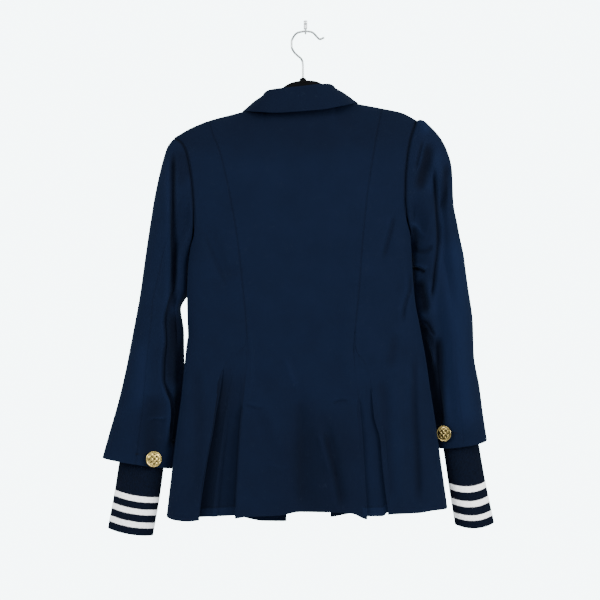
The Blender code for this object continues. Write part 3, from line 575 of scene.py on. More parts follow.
@dataclass(frozen=True)
class Suiting:
    """Dense navy suiting: a fine twill, a faint napped bump and a little lint.

    Its colour has painted shade in folds and a painted highlight on raised cloth.
    """

    name: str = "navy suiting"
    colour: tuple = (0.00175, 0.00400, 0.01300, 1.0)
    lint: tuple = (0.0060, 0.0100, 0.0200, 1.0)
    roughness: float = 0.82
    twill_pitch: float = 0.0011
    painted_shade_depth: float = 0.8
    painted_highlight_lift: float = 0.45
    painted_fold_tones: tuple[float, float] = (0.22, 2.2)
    lint_from: float = 0.415
    lint_share: float = 0.35
    slot: Slot = Slot.CLOTH

    def material(self) -> bpy.types.Material:
        """Twill from a sine of the cloth's own UV, and mottling from noise on the object.

        Returns:
            The material.
        """
        nodes = Nodes(self.name)
        tone = nodes.tones(nodes.noise(26.0, 5.0), self.colour, (0.3, 0.93), (0.7, 1.07))
        along, up, _ = nodes.split(nodes.cloth)
        turn = 2 * math.pi / self.twill_pitch
        twill = nodes.math("SINE", nodes.math("MULTIPLY", nodes.math("ADD", along, up), turn))
        weft = nodes.math("SINE", nodes.math("MULTIPLY", up, 2.3 * turn))
        weave = nodes.math("ADD", twill, nodes.math("MULTIPLY", weft, 0.5))
        nap = nodes.noise(1400.0, 3.0)
        height = nodes.math("ADD", nodes.math("MULTIPLY", weave, 0.22), nap)
        fibres = nodes.math("MULTIPLY", nodes.noise(620.0), nodes.noise(90.0))
        fluff = nodes.math("MULTIPLY", nodes.math("GREATER_THAN", fibres, self.lint_from), self.lint_share)
        # Painted shade: the fold attribute darkens the colour in folds and seams, and paints a highlight on
        # raised cloth
        fold = nodes.attribute("fold")
        for times, lighter in zip((-self.painted_shade_depth, self.painted_highlight_lift), self.painted_fold_tones):
            share = nodes.math("MULTIPLY", fold, times)
            share.node.use_clamp = True
            tone = nodes.mix(share, tone, shade(self.colour, lighter))
        nodes.link(nodes.mix(fluff, tone, self.lint), "Base Color")
        nodes.bump(height, 0.45, 0.0005)
        nodes.set(Roughness=self.roughness, Sheen_Weight=0.02, Sheen_Roughness=0.5)
        nodes.set(Sheen_Tint=(0.30, 0.52, 1.0, 1.0), Specular_IOR_Level=0.04)
        return nodes.material


@dataclass(frozen=True)
class StripedKnit:
    """Fine rib knit in navy, with white stripes a set way up from the hem edge."""

    name: str = "left striped knit"
    navy: tuple = (0.00054, 0.00180, 0.00640, 1.0)
    white: tuple = (0.96, 0.95, 0.96, 1.0)
    bands: tuple = (0.0120, 0.0210, 0.0333, 0.0421, 0.0540, 0.0629)
    stitch: float = 0.0022
    wander: float = 0.0012
    slot: Slot = Slot.KNIT

    def material(self) -> bpy.types.Material:
        """Bands compare the height up the cuff, moved by a zigzag as wide as a stitch, with their edges.

        Returns:
            The material.
        """
        nodes = Nodes(self.name)
        along, up, _ = nodes.split(nodes.cloth)
        slanted = nodes.math("ADD", up, nodes.math("PINGPONG", along, self.stitch / 2))
        wander = nodes.math("MULTIPLY", nodes.noise(160.0), self.wander)
        height = nodes.math("ADD", slanted, nodes.math("SUBTRACT", wander, self.wander))
        whites: Socket | float = 0.0
        for low, high in zip(self.bands[::2], self.bands[1::2]):
            above, below = nodes.math("GREATER_THAN", height, low), nodes.math("LESS_THAN", height, high)
            whites = nodes.math("ADD", whites, nodes.math("MULTIPLY", above, below))
        fuzz = nodes.noise(420.0, 4.0)
        navy = nodes.tones(fuzz, self.navy, (0.3, 0.75), (0.75, 1.5))
        white = nodes.tones(fuzz, self.white, (0.25, 0.8), (0.65, 1.0))
        nodes.link(nodes.mix(whites, navy, white), "Base Color")
        loops = nodes.math("PINGPONG", slanted, self.stitch * 0.3)
        nodes.bump(nodes.math("ADD", nodes.math("MULTIPLY", loops, 900.0), fuzz), 0.6, 0.0006)
        nodes.set(Roughness=0.9, Sheen_Weight=0.02, Sheen_Roughness=0.5, Specular_IOR_Level=0.05)
        return nodes.material


@dataclass(frozen=True)
class AgedGold:
    """Gold plate worn bright on its high places and brown in its hollows."""

    name: str = "aged gold"
    bright: tuple = (0.47, 0.345, 0.115, 1.0)
    hollow: tuple = (0.018, 0.011, 0.004, 1.0)
    slot: Slot = Slot.GOLD

    def material(self) -> bpy.types.Material:
        """The attribute 'hollow' is 1 in the relief's low places.

        Returns:
            The material.
        """
        nodes = Nodes(self.name)
        grime = nodes.math("MULTIPLY", nodes.noise(300.0, 4.0), 0.5)
        stain = nodes.math("ADD", nodes.attribute("hollow"), grime)
        nodes.link(nodes.ramp(stain, (0.25, self.bright), (0.85, self.hollow)), "Base Color")
        nodes.link(nodes.math("ADD", nodes.math("MULTIPLY", stain, 0.25), 0.18), "Roughness")
        nodes.bump(nodes.noise(1500.0, 3.0), 0.12, 0.0002)
        nodes.set(Metallic=1.0)
        return nodes.material


@dataclass(frozen=True)
class Velvet:
    """Short black flocking."""

    name: str = "black flocking"
    colour: tuple = (0.0014, 0.0014, 0.0017, 1.0)
    slot: Slot = Slot.VELVET

    def material(self) -> bpy.types.Material:
        """Fine noise for the pile, and a sheen at its edges.

        Returns:
            The material.
        """
        nodes = Nodes(self.name)
        pile = nodes.noise(2200.0, 3.0)
        nodes.link(nodes.tones(pile, self.colour, (0.3, 0.6), (0.7, 1.8)), "Base Color")
        nodes.bump(pile, 0.7, 0.0004)
        nodes.set(Roughness=0.95, Sheen_Weight=0.10, Sheen_Roughness=0.35, Specular_IOR_Level=0.05)
        return nodes.material


@dataclass(frozen=True)
class Metal:
    """Plated or plain metal with faint streaks."""

    name: str
    colour: tuple
    roughness: float
    streak: float
    slot: Slot

    def material(self) -> bpy.types.Material:
        """Noise drawn out along Z moves the roughness and the bump.

        Returns:
            The material.
        """
        nodes = Nodes(self.name)
        drawn = nodes.add("ShaderNodeMapping", {"Vector": nodes.place, "Scale": (1, 1, 0.12)})
        streaks = nodes.noise(900.0, 3.0, drawn.outputs[0])
        rough = nodes.math("ADD", nodes.math("MULTIPLY", streaks, self.streak), self.roughness)
        nodes.link(rough, "Roughness")
        nodes.link(nodes.tones(streaks, self.colour, (0.2, 0.85), (0.8, 1.05)), "Base Color")
        nodes.bump(streaks, 0.08, 0.0002)
        nodes.set(Metallic=1.0)
        return nodes.material


@dataclass(frozen=True)
class Thread:
    """Twisted sewing thread."""

    name: str = "sewing thread"
    colour: tuple = (0.0011, 0.0026, 0.0085, 1.0)
    slot: Slot = Slot.CLOTH

    def material(self) -> bpy.types.Material:
        """A sine along the object's slant for the twist of the thread.

        Returns:
            The material.
        """
        nodes = Nodes(self.name)
        across, _, up = nodes.split(nodes.place)
        twist = nodes.math("SINE", nodes.math("MULTIPLY", nodes.math("ADD", across, up), 9000.0))
        nodes.link(nodes.tones(twist, self.colour, (0.0, 0.7), (1.0, 1.4)), "Base Color")
        nodes.bump(twist, 0.3, 0.0002)
        nodes.set(Roughness=0.7, Specular_IOR_Level=0.06)
        return nodes.material


class Wardrobe:
    """Makes each finish's material once, and dresses pieces with it."""

    def __init__(self) -> None:
        """Starts with no materials."""
        self.made: dict[str, bpy.types.Material] = {}

    def dress(self, piece: Piece, finish: object, *nodes: str) -> Piece:
        """Gives a piece its finish, its body and the CAD nodes that it stands for.

        Args:
            piece: The mesh object, in place.
            finish: One of the finishes.
            nodes: Names of CAD nodes.

        Returns:
            The piece.
        """
        if finish.name not in self.made:
            self.made[finish.name] = finish.material()
        piece.data.materials.append(self.made[finish.name])
        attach(piece, BODY)
        if nodes:
            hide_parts(*nodes)
        log.info("%s: %d faces, %s", piece.name, len(piece.data.polygons), finish.name)
        return piece

    def dress_cloth(self, cloth: Cloth, finish: object, rests_on: Sequence[str], *nodes: str) -> Piece:
        """Args:
            cloth: The piece of cloth.
            finish: One of the finishes.
            rests_on: Names of the pieces that hold it; not used.
            nodes: Names of CAD nodes.

        Returns:
            The piece.
        """
        piece = self.dress(cloth.build(), finish, *nodes)
        width, length, area = cloth.cut_size()
        log.info("%s: cut %.0f x %.0f mm, %.4f square metres", piece.name, width / MM, length / MM, area)
        return piece


# The body of the blazer


@dataclass(frozen=True)
class Spots:
    """Places on the body: level is 0 on the shoulder to 1 at the hem, and share is that of its width."""

    across: Array
    drop: Array
    share: Array
    level: Array


def by_side(left: object, right: object) -> dict:
    """A dataclass field that holds a value for each side."""
    return field(default_factory=lambda: {Side.LEFT: left, Side.RIGHT: right})


@dataclass
class BodyForm:
    """Outline, panels and depth of the body, which all its pieces share.

    Edges, seams and flaps are (drop, across), and a flap's across is counted from its seam. The shoulder
    line and the hems are (across, drop). Levels are (level, drop on the left edge, drop on the right one).
    Depths are (level, back at the side, back in the middle, front at the side, front in the middle).
    """

    left_edge: Rows = (
        (184, -212), (194, -199), (213, -190), (240, -184), (277, -180), (309, -178.5), (342, -180),
        (361, -184.6), (398, -188.6), (441, -190.3), (478, -189.6), (502, -188.8), (526, -191.4),
        (598, -198.6), (654, -206), (712, -213), (793, -222.5),
    )
    right_edge: Rows = (
        (156, 179.5), (173, 173), (191, 167.5), (218, 162.7), (253, 159.5), (285, 159), (313, 162),
        (343, 168.3), (398, 171.6), (446, 175.6), (494, 184.4), (542, 193.2), (598, 201.2),
        (654, 209.8), (690, 214.5), (735, 220.8), (779, 227),
    )
    seam_left: Rows = (
        (150, -157), (180, -149), (207, -138), (252, -126.7), (295, -118), (342, -110), (385, -104.4),
        (430, -99.7), (478, -95), (525, -93.3), (581, -96.5), (637, -103), (732, -109), (795, -112.5),
    )
    seam_right: Rows = (
        (130, 125), (165, 117), (199, 110.5), (239, 104), (271, 99.3), (327, 93), (382, 88.2),
        (446, 83.4), (494, 78.6), (526, 77), (581, 81.8), (637, 88), (717, 93), (795, 98),
    )
    flap_left: Rows = (
        (508, 0), (518, 2), (531, 15), (540, 28), (552, 35), (596, 39), (651, 42.5), (699, 49),
        (746, 54), (790, 57),
    )
    flap_right: Rows = (
        (515, 0), (528, 3), (549, 17), (580, 21.6), (628, 21), (667, 28), (715, 29.5), (780, 33),
    )
    levels: Rows = ((0, 184, 156), (0.3, 361, 343), (0.6, 545, 530), (1, 789, 778))
    shoulder_line: Rows = (
        (-212, 184), (-185, 168.5), (-157, 157), (-100, 141.6), (-64, 129.5), (-36, 131.5), (-9, 132.5),
        (18, 129), (47, 120.5), (81, 128.5), (125, 137), (155, 143.5), (179.5, 156),
    )
    back_hem: Rows = (
        (-222.5, 793), (-209, 796), (-190, 797), (-168, 794.5), (-111, 790.5), (-95, 788), (-40, 785),
        (-9, 779.6), (35, 780.3), (62, 781), (75, 783), (97, 791.5), (122, 791.5), (132, 784.5), (180, 783),
        (204, 780), (227, 779),
    )
    front_hem: Rows = (
        (-222.5, 793), (-150, 791), (-110, 795), (-90, 800), (-70, 803.5), (-30, 804), (41, 797.5),
        (64, 793), (100, 787), (180, 782), (227, 779),
    )
    depths: Rows = (
        (0, -44, -54, -15, -13), (0.1, -52, -62, -15, -12), (0.2, -55, -69, -18, -11),
        (0.26, -50, -72, -28, -10.5), (0.3, -43, -74, -43, -10), (0.45, -42, -77, -42, -10),
        (0.65, -42, -81, -42, -9.5), (0.82, -43, -88, -43, -9), (1, -44, -94, -44, -9),
    )
    front_edge_left: Rows = (
        (120, -64), (180, -59), (260, -49), (340, -39), (420, -31), (600, -30), (805, -31.6),
    )
    front_edge_right: Rows = (
        (110, 47), (180, 46), (260, 44), (340, 42), (420, 40), (600, 40), (805, 41.3),
    )
    underarm: float = 0.3
    ridge_depth: float = -24.0
    neck_depth: float = 30.0
    neck_middle: float = -8.5
    neck_half: float = 55.0
    roundness: float = 2.5
    back_roll: float = 60.0
    front_roll: float = 40.0
    scoop: float = 12.0
    length: float = 620.0

    def __post_init__(self) -> None:
        """Turns the tables into curves."""
        self.left, self.right = curve(self.left_edge), curve(self.right_edge)
        self.seams = {Side.LEFT: curve(self.seam_left), Side.RIGHT: curve(self.seam_right)}
        self.flaps = {Side.LEFT: curve(self.flap_left), Side.RIGHT: curve(self.flap_right)}
        self.level_left, self.level_right = curve(self.levels, 1), curve(self.levels, 2)
        self.shoulder = curve(self.shoulder_line)
        self.hem_back, self.hem_front = curve(self.back_hem), curve(self.front_hem)
        self.back_edge_y, self.back_middle_y = curve(self.depths, 1), curve(self.depths, 2)
        self.front_edge_y, self.front_middle_y = curve(self.depths, 3), curve(self.depths, 4)
        self.openings = {Side.LEFT: curve(self.front_edge_left), Side.RIGHT: curve(self.front_edge_right)}

    def edge(self, side: Side) -> Curve:
        """The outline on a side."""
        return self.left if side is Side.LEFT else self.right

    def front_side(self, side: Side) -> Line:
        """The front's outer edge: the outline, moved in along the armhole by half a sine.

        Args:
            side: A side of the picture.

        Returns:
            Across as a function of the drop.
        """
        level = self.level_left if side is Side.LEFT else self.level_right
        tip, low = level(0.0), level(self.underarm)

        def line(drop: Array) -> Array:
            """Across for a drop."""
            cut = self.scoop * np.sin(math.pi * np.clip((drop - tip) / (low - tip), 0, 1))
            return self.edge(side)(drop) - side.value * cut

        return line

    def place(self, line: Line, level: Array, hem: Curve) -> Spots:
        """Where a line crosses a level: the level's chord, bent to the shoulder line above and the hem below.

        Args:
            line: Across as a function of the drop.
            level: 0 on the shoulder to 1 at the hem.
            hem: Drop of the hem as a function of across.

        Returns:
            The places on the body.
        """
        drop_l, drop_r = self.level_left(level), self.level_right(level)
        edge_l, edge_r = self.left(drop_l), self.right(drop_r)
        ends = [(self.left.values[k], self.right.values[k]) for k in (0, -1)]
        drop = (drop_l + drop_r) / 2
        for _ in range(5):
            across = line(drop)
            share = np.clip((across - edge_l) / (edge_r - edge_l), 0, 1)
            top, low = (a + share * (b - a) for a, b in ends)
            tips = [level_at(k) for k in (0.0, 1.0) for level_at in (self.level_left, self.level_right)]
            rise = self.shoulder(top) - (tips[0] + share * (tips[1] - tips[0]))
            fall = hem(low) - (tips[2] + share * (tips[3] - tips[2]))
            drop = drop_l + share * (drop_r - drop_l) + rise * (1 - level) ** 2.2 + fall * level**4
        return Spots(across, drop, share, level)

    def fullness(self, at: Spots) -> Array:
        """0 at the sides to 1 in the middle: a soft curve at the chest, a rounded box below the arms."""
        out, boxed = np.abs(2 * at.share - 1) ** self.roundness, smoothstep((at.level - 0.2) / 0.14)
        return (1 - boxed) * (1 - out) + boxed * (1 - out) ** (1 / self.roundness)

    def lift(self, at: Spots, reach: float) -> Array:
        """0 on the shoulder ridge to 1 a reach below it, as a quarter circle."""
        down = np.clip((at.drop - self.shoulder(at.across)) / reach, 0, 1)
        return np.sqrt(1 - (1 - down) ** 2)

    def back_depth(self, at: Spots) -> Array:
        """Depth of the back without its folds: out from the neck and the ridge over the shoulder blades.

        Args:
            at: Places on the body.

        Returns:
            The depth at each place.
        """
        out = np.clip(np.abs(at.across - self.neck_middle) / self.neck_half, 0, 1)
        neck = self.ridge_depth - self.neck_depth * np.sqrt(1 - out**2)
        form = self.fullness(at)
        full = (1 - form) * self.back_edge_y(at.level) + form * self.back_middle_y(at.level)
        full = np.minimum(full, neck - 2)
        raised = self.lift(at, self.back_roll)
        return neck * (1 - raised) + full * raised

    def front_depth(self, at: Spots) -> Array:
        """Depth of a front's outer face, towards the wall.

        Args:
            at: Places on the body.

        Returns:
            The depth at each place.
        """
        form, level = self.fullness(at), at.level
        edge = np.where(level > self.underarm, self.back_edge_y(level), self.front_edge_y(level))
        full = (1 - form) * edge + form * self.front_middle_y(level)
        raised = self.lift(at, self.front_roll)
        return self.ridge_depth * (1 - raised) + full * raised

    def front_spots(self, across: Array, drop: Array) -> Spots:
        """Finds the level of places on a front, by steps of the drop that is left.

        Args:
            across: Across of the places.
            drop: Drop of the places.

        Returns:
            The places on the body.
        """
        level = np.full(np.shape(across), 0.2)
        for _ in range(14):
            at = self.place(lambda _: across, level, self.hem_front)
            level = np.clip(level + (drop - at.drop) / self.length, 0, 1)
        return Spots(across, drop, at.share, level)

    def grid(
        self, lines: tuple[Line, Line], levels: Array, shares: Array, hem: Curve, depth: Callable
    ) -> tuple[Array, Spots]:
        """Points between two lines, with a row for each level and a column for each share of the way over.

        Args:
            lines: Across as a function of the drop, for the first and the last column.
            levels: Level of each row.
            shares: Share of the way over of each column.
            hem: Drop of the hem as a function of across.
            depth: Depth of places on the body.

        Returns:
            The points, and their places on the body.
        """
        level, over = np.broadcast_arrays(levels[:, None], shares)
        at = self.place(lambda drop: (1 - over) * lines[0](drop) + over * lines[1](drop), level, hem)
        return np.stack([at.across, depth(at), -at.drop], axis=-1), at


def levels_of(form: BodyForm, above: int, below: int) -> Array:
    """Levels crowded at the shoulder and at the underarm, then even down to the hem."""
    arm = form.underarm * (1 - np.cos(np.linspace(0, math.pi, above))) / 2
    return np.concatenate([arm, np.linspace(form.underarm, 1, below)[1:]])


def panel_shares(count: int, seam_start: bool, seam_end: bool, turn: Side | None = None) -> Array:
    """Shares across a panel, crowded at a seam's groove or where the panel turns into the side.

    Args:
        count: Number of even steps.
        seam_start: True for a groove at 0.
        seam_end: True for a groove at 1.
        turn: The side at which the panel rounds off.

    Returns:
        Shares from 0 to 1.
    """
    near = np.array([0, 0.004, 0.009, 0.016, 0.025, 0.037])
    clear = near[-1] + 0.006
    steps = even(count)
    if turn is Side.LEFT:
        steps = 1 - np.cos(math.pi / 2 * steps)
    if turn is Side.RIGHT:
        steps = np.sin(math.pi / 2 * steps)
    if seam_start:
        steps = np.concatenate([near, steps[steps > clear]])
    if seam_end:
        steps = np.concatenate([steps[steps < 1 - clear], 1 - near[::-1]])
    return steps


@dataclass(frozen=True)
class Pleat:
    """How a pleat opens, how its underlay lies, and how much shade is painted into it.

    The starts are the drop at which the side panel's flap or the centre panel's fold begins to open, with
    the length over which it opens. The underlay is deep behind the panels, tucked under both of them, and
    raised in its middle by the tongue's share.
    """

    flap_start: tuple[float, float]
    fold_start: tuple[float, float]
    seam_end: float
    deep: float
    tucked: float
    tongue: float
    # Painted shade in the underlay: faint where it is open, and dark by the flap's edge
    faint: float
    dark: float


@dataclass
class Back:
    """The back: a centre panel between two princess seams, two side panels, and a pleat under each seam.

    Main folds are (across and drop of one end, across and drop of the other, half width, height).
    """

    form: BodyForm
    wardrobe: Wardrobe
    rest: str
    groove: float = 0.8
    groove_width: float = 1.4
    armhole_groove: float = 1.5
    armhole_width: float = 2.2
    fold_radius: float = 3.2
    puckers: Rows = ((13.7, 0.2, 0.1), (9.3, 0.14, 0.6), (31.0, 0.2, 0.3))
    pucker_reach: float = 7.0
    pleats: dict = by_side(
        Pleat((540.0, 45.0), (604.0, 34.0), 516.0, 13.0, 9.0, 0.55, 0.22, 0.6),
        Pleat((574.0, 40.0), (592.0, 40.0), 540.0, 5.0, 8.0, 0.0, 0.0, 0.25),
    )
    pleat_section: Rows = (
        (0, 0.16, 0.0), (0, 0.26, 0.7), (0, 0.5, 1.0), (0, 0.8, 0.95), (0, 0.97, 0.55), (0.1, 1, 0.0),
        (0.5, 1.02, 0.0), (0.9, 1, 0.0), (1, 0.97, 0.55), (1, 0.8, 0.95), (1, 0.5, 1.0), (1, 0.26, 0.7),
        (1, 0.16, 0.0),
    )
    pleat_gap: float = 2.6
    pleat_hem: float = 14.0
    main_folds: Rows = (
        (-6, 600, -2, 775, 16, -6), (30, 640, 60, 775, 9, -5), (22, 650, 40, 720, 8, 4),
        (-75, 590, -34, 690, 12, 4), (168, 530, 176, 780, 13, -6), (148, 560, 156, 780, 12, 3),
        (-160, 330, -125, 420, 12, -3), (150, 290, 128, 380, 12, -4), (158, 400, 150, 490, 8, -4),
        (-190, 560, -196, 780, 12, -4), (-70, 560, -60, 660, 16, -3), (70, 440, 62, 560, 14, 3),
    )
    creases: tuple[Crease, ...] = (
        Crease(((-164, 334), (-153, 363), (-138, 398), (-124, 430)), 3.5, -1.0, 0.4),
        Crease(((143, 306), (136, 336), (128, 365), (122, 386)), 3.2, -2.2, -0.5),
        Crease(((168, 398), (167, 427), (159, 454), (154, 486)), 3, -3.0, -0.5),
        Crease(((144, 494), (138, 529), (132, 561)), 8, -2.0),
        Crease(((-7, 598), (-9, 654), (-9, 717), (-7, 779)), 7, -1.2, ends=0.12),
        Crease(((29, 650), (37, 685), (48, 725), (57, 779)), 4, -1.7, -0.4, ends=0.15),
        Crease(((41, 612), (52, 607), (69, 606)), 2.4, -1.5, 0.6),
        Crease(((-98, 612), (-82, 617), (-66, 620)), 2.2, -1.1, 0.6),
        Crease(((-34, 534), (-23, 566), (-12, 593)), 6, 1.8),
        Crease(((175, 526), (173, 606), (177, 685), (180, 775)), 5, -2.4, -0.5, ends=0.15),
        Crease(((-88, 486), (-86, 520), (-85, 560), (-86, 600)), 2.2, 0.7),
        Crease(((-62, 700), (-40, 712), (-20, 705)), 5, 0.8),
        Crease(((120, 560), (126, 640), (131, 770)), 8, -1.8, 0.4, ends=0.15),
        Crease(((-176, 540), (-170, 640), (-172, 770)), 9, -1.6, -0.4, ends=0.15),
    )

    def broad_folds(self, at: Spots) -> Array:
        """The solids' main folds, faded at the sides.

        Args:
            at: Places on the body.

        Returns:
            Heights, plus away from the wall.
        """
        total = np.zeros_like(at.across)
        for x0, z0, x1, z1, half_width, height in self.main_folds:
            reach = math.hypot(x1 - x0, z1 - z0)
            along = ((x1 - x0) / reach, (z1 - z0) / reach)
            run = ((at.across - x0) * along[0] + (at.drop - z0) * along[1]) / reach
            off = (at.across - x0) * along[1] - (at.drop - z0) * along[0]
            fade = smoothstep((run + 0.15) / 0.4) * smoothstep((1.1 - run) / 0.3)
            total += height * bell(off, half_width) * fade
        return total * smoothstep(np.minimum(at.share, 1 - at.share) / 0.12)

    def folds(self, at: Spots) -> Array:
        """The broad folds and the finer creases over them."""
        return self.broad_folds(at) + relief_of(self.creases, at.across, at.drop)

    def fold_shade(self, at: Spots) -> Array:
        """The fold attribute, as painted shade and painted highlight: faint for the broad folds, the yoke and
        the skirt, and full for the creases.

        Args:
            at: Places on the body.

        Returns:
            The attribute at each place.
        """
        # Painted shade: darker towards the bottom of the skirt, down its middle, and on the yoke, where less
        # light falls
        skirt = -0.12 * smoothstep((at.drop - 560) / 120)
        middle = -0.36 * smoothstep((at.drop - 600) / 80) * bell(at.across - 25, 62)
        yoke = -0.36 * (1 - smoothstep((at.drop - 180) / 60))
        broad = 0.3 * np.tanh(self.broad_folds(at) / 12)
        return broad + skirt + middle + yoke + np.tanh(relief_of(self.creases, at.across, at.drop) / 7)

    def depth(self, at: Spots) -> Array:
        """Depth of the back's outer face with its folds."""
        return self.form.back_depth(at) - self.folds(at)

    def seam_edges(self, points: Array, normals: Array, ends: Sequence[tuple]) -> tuple[Array, ...]:
        """Presses a groove along each seam, and rolls the edge of each pleat inwards below it.

        Args:
            points: The panel's grid.
            normals: Its normals.
            ends: For each seam, the panel's last column or first one (-1 or 0), the drop at which the seam
                ends, and where the rolled fold starts with the length over which it opens.

        Returns:
            The grid with its edges shaped, and the fold attribute that they add: painted shade along the
            grooves.
        """
        fold = np.zeros(points.shape[:2])
        drop = -points[..., 2]
        for end, seam_end, (start, reach) in ends:
            walked = arc_lengths(points, 1)
            away = walked if end == 0 else walked[:, -1:] - walked
            sewn = 1 - 0.8 * smoothstep((drop - seam_end + 20) / 40)
            opened = smoothstep((drop - start) / reach)
            line = bell(away, self.groove_width) * sewn * (1 - opened)
            pucker = ripple(drop, self.puckers) * np.exp(-away / self.pucker_reach) * sewn
            inside = np.clip(1 - away / self.fold_radius, 0, 1)
            rolled = self.fold_radius * (1 - np.sqrt(1 - inside**2)) * opened
            points = points - (self.groove * line + pucker + rolled)[..., None] * normals
            # Painted shade along the pressed groove
            fold = fold - 0.3 * line
        return points, fold

    def armhole_edge(self, points: Array, normals: Array, side: Side, levels: Array) -> tuple[Array, ...]:
        """Sinks a side panel's armhole edge into its seam, down to the underarm.

        Args:
            points: The panel's grid.
            normals: Its normals.
            side: The side of the picture that it is on.
            levels: Level of each row.

        Returns:
            The grid and the fold attribute that it adds: painted shade along the sunk edge.
        """
        walked = arc_lengths(points, 1)
        away = walked if side is Side.LEFT else walked[:, -1:] - walked
        above = (1 - smoothstep((levels - self.form.underarm) / 0.03))[:, None]
        line = bell(away, self.armhole_width) * above
        # The second value is painted shade along the groove
        return points - (self.armhole_groove * line)[..., None] * normals, -0.8 * line

    def flap_edge(self, side: Side) -> Line:
        """A side panel's inner edge: the seam, and below it the edge of the pleat's flap."""
        seam, flap = self.form.seams[side], self.form.flaps[side]
        return lambda drop: seam(drop) + side.value * flap(drop)

    def build(self) -> None:
        """Builds the three panels and the two pleats."""
        left, right = self.pleats[Side.LEFT], self.pleats[Side.RIGHT]
        centre_ends = (0, left.seam_end, left.fold_start), (-1, right.seam_end, right.fold_start)
        self.build_panel(
            "back_side_left", (self.form.left, self.flap_edge(Side.LEFT)),
            panel_shares(60, False, True, Side.LEFT), ((-1, left.seam_end, left.flap_start),), Side.LEFT,
        )
        self.build_panel(
            "back_centre", tuple(self.form.seams.values()), panel_shares(100, True, True), centre_ends,
        )
        self.build_panel(
            "back_side_right", (self.flap_edge(Side.RIGHT), self.form.right),
            panel_shares(60, True, False, Side.RIGHT), ((0, right.seam_end, right.flap_start),), Side.RIGHT,
        )
        for side, pleat in self.pleats.items():
            self.build_pleat(side, pleat)

    def build_panel(
        self, name: str, lines: tuple[Line, Line], shares: Array, ends: Sequence[tuple],
        side: Side | None = None,
    ) -> None:
        """Builds one panel with its folds, its seams and its armhole.

        Args:
            name: Name of the CAD node.
            lines: The panel's two edges, as across for a drop.
            shares: Share of the way over of each column.
            ends: Its seams, as seam_edges reads them.
            side: The side whose armhole it has, if it has one.
        """
        levels = levels_of(self.form, 90, 230)
        points, at = self.form.grid(lines, levels, shares, self.form.hem_back, self.depth)
        # The fold attribute: painted shade and highlight from the folds, and painted shade from the seams and
        # armhole
        fold = self.fold_shade(at)
        points, sewn = self.seam_edges(points, grid_normals(points, FROM_WALL), ends)
        fold = fold + sewn
        if side is not None:
            points, sunk = self.armhole_edge(points, grid_normals(points, FROM_WALL), side, levels)
            fold = fold + sunk
        cloth = Cloth(name + "_cloth", points, grid_normals(points, FROM_WALL), fold=fold)
        self.wardrobe.dress_cloth(cloth, Suiting(), [self.rest], name)

    def build_pleat(self, side: Side, pleat: Pleat) -> None:
        """The underlay of a pleat: flat between the panels at its top, then sunk and tucked under both.

        Its open section runs (way over, share of the depth, tuck) through the rows of the table. The flat one
        is blended into it, by how far each of the two fold edges has opened at that drop.

        Args:
            side: The side of the picture that it is on.
            pleat: Its sizes and its painted shades.
        """
        steps = even(72)
        over, sunk, tuck = sample(self.pleat_section, steps).T
        outward = np.where(steps < 0.5, 1.0, -1.0)
        levels = np.concatenate([np.linspace(0.548, 0.93, 110), np.linspace(0.935, 0.994, 26)])
        level = np.broadcast_to(levels[:, None], (len(levels), len(steps)))
        seam, flap = self.form.seams[side], self.form.flaps[side]

        def opened(drop: Array) -> Array:
            """How open the pleat is along the section, from the flap's edge to the centre's."""
            flap_open, fold_open = (
                smoothstep((drop - start) / reach) for start, reach in (pleat.flap_start, pleat.fold_start)
            )
            return (1 - steps) * flap_open + steps * fold_open

        def line(drop: Array) -> Array:
            """Across of the section's points for a drop."""
            wide, now = side.value * np.maximum(flap(drop), 0.5), opened(drop)
            way = (1 - now) * steps + now * over
            return seam(drop) + wide * (1 - way) + side.value * outward * now * tuck * pleat.tucked

        at = self.form.place(line, level, self.form.hem_back)
        across, drop = at.across, at.drop
        now, low = opened(drop), drop[-1:] - self.pleat_hem
        depth = self.form.back_depth(at) - self.folds(at) * (1 - now)
        grow = self.pleat_gap + (pleat.deep - self.pleat_gap) * smoothstep((level - 0.56) / 0.4)
        turned = smoothstep((drop - low) / 1.5) * smoothstep((over - 0.02) / 0.05)
        inner = 1.0 - pleat.tongue * bell(over - 0.42, 1 / 14)
        points = np.stack([across, depth + now * (sunk * grow * inner - 0.7 * turned), -drop], axis=-1)
        # Painted shade in the open pleat, darkest by the flap's edge and by the seam; a painted highlight on
        # the turned hem strip and painted shade in a line above it
        seen = np.clip((across - seam(drop)) * side.value / np.maximum(flap(drop), 0.5), 0, 1)
        shadow = pleat.faint + pleat.dark * bell(1 - seen, 0.45) + 0.3 * bell(seen, 0.08)
        begun = smoothstep((drop - pleat.flap_start[0]) / 60)
        fold = -shadow * begun + 0.5 * turned - 0.3 * bell(drop - low + 0.5, 1.4)
        name = f"pleat_insert_{side.word}"
        cloth = Cloth(name + "_cloth", points, grid_normals(points, FROM_WALL), thickness=1.0, fold=fold)
        self.wardrobe.dress_cloth(cloth, Suiting(), ["back_centre_cloth"], name)


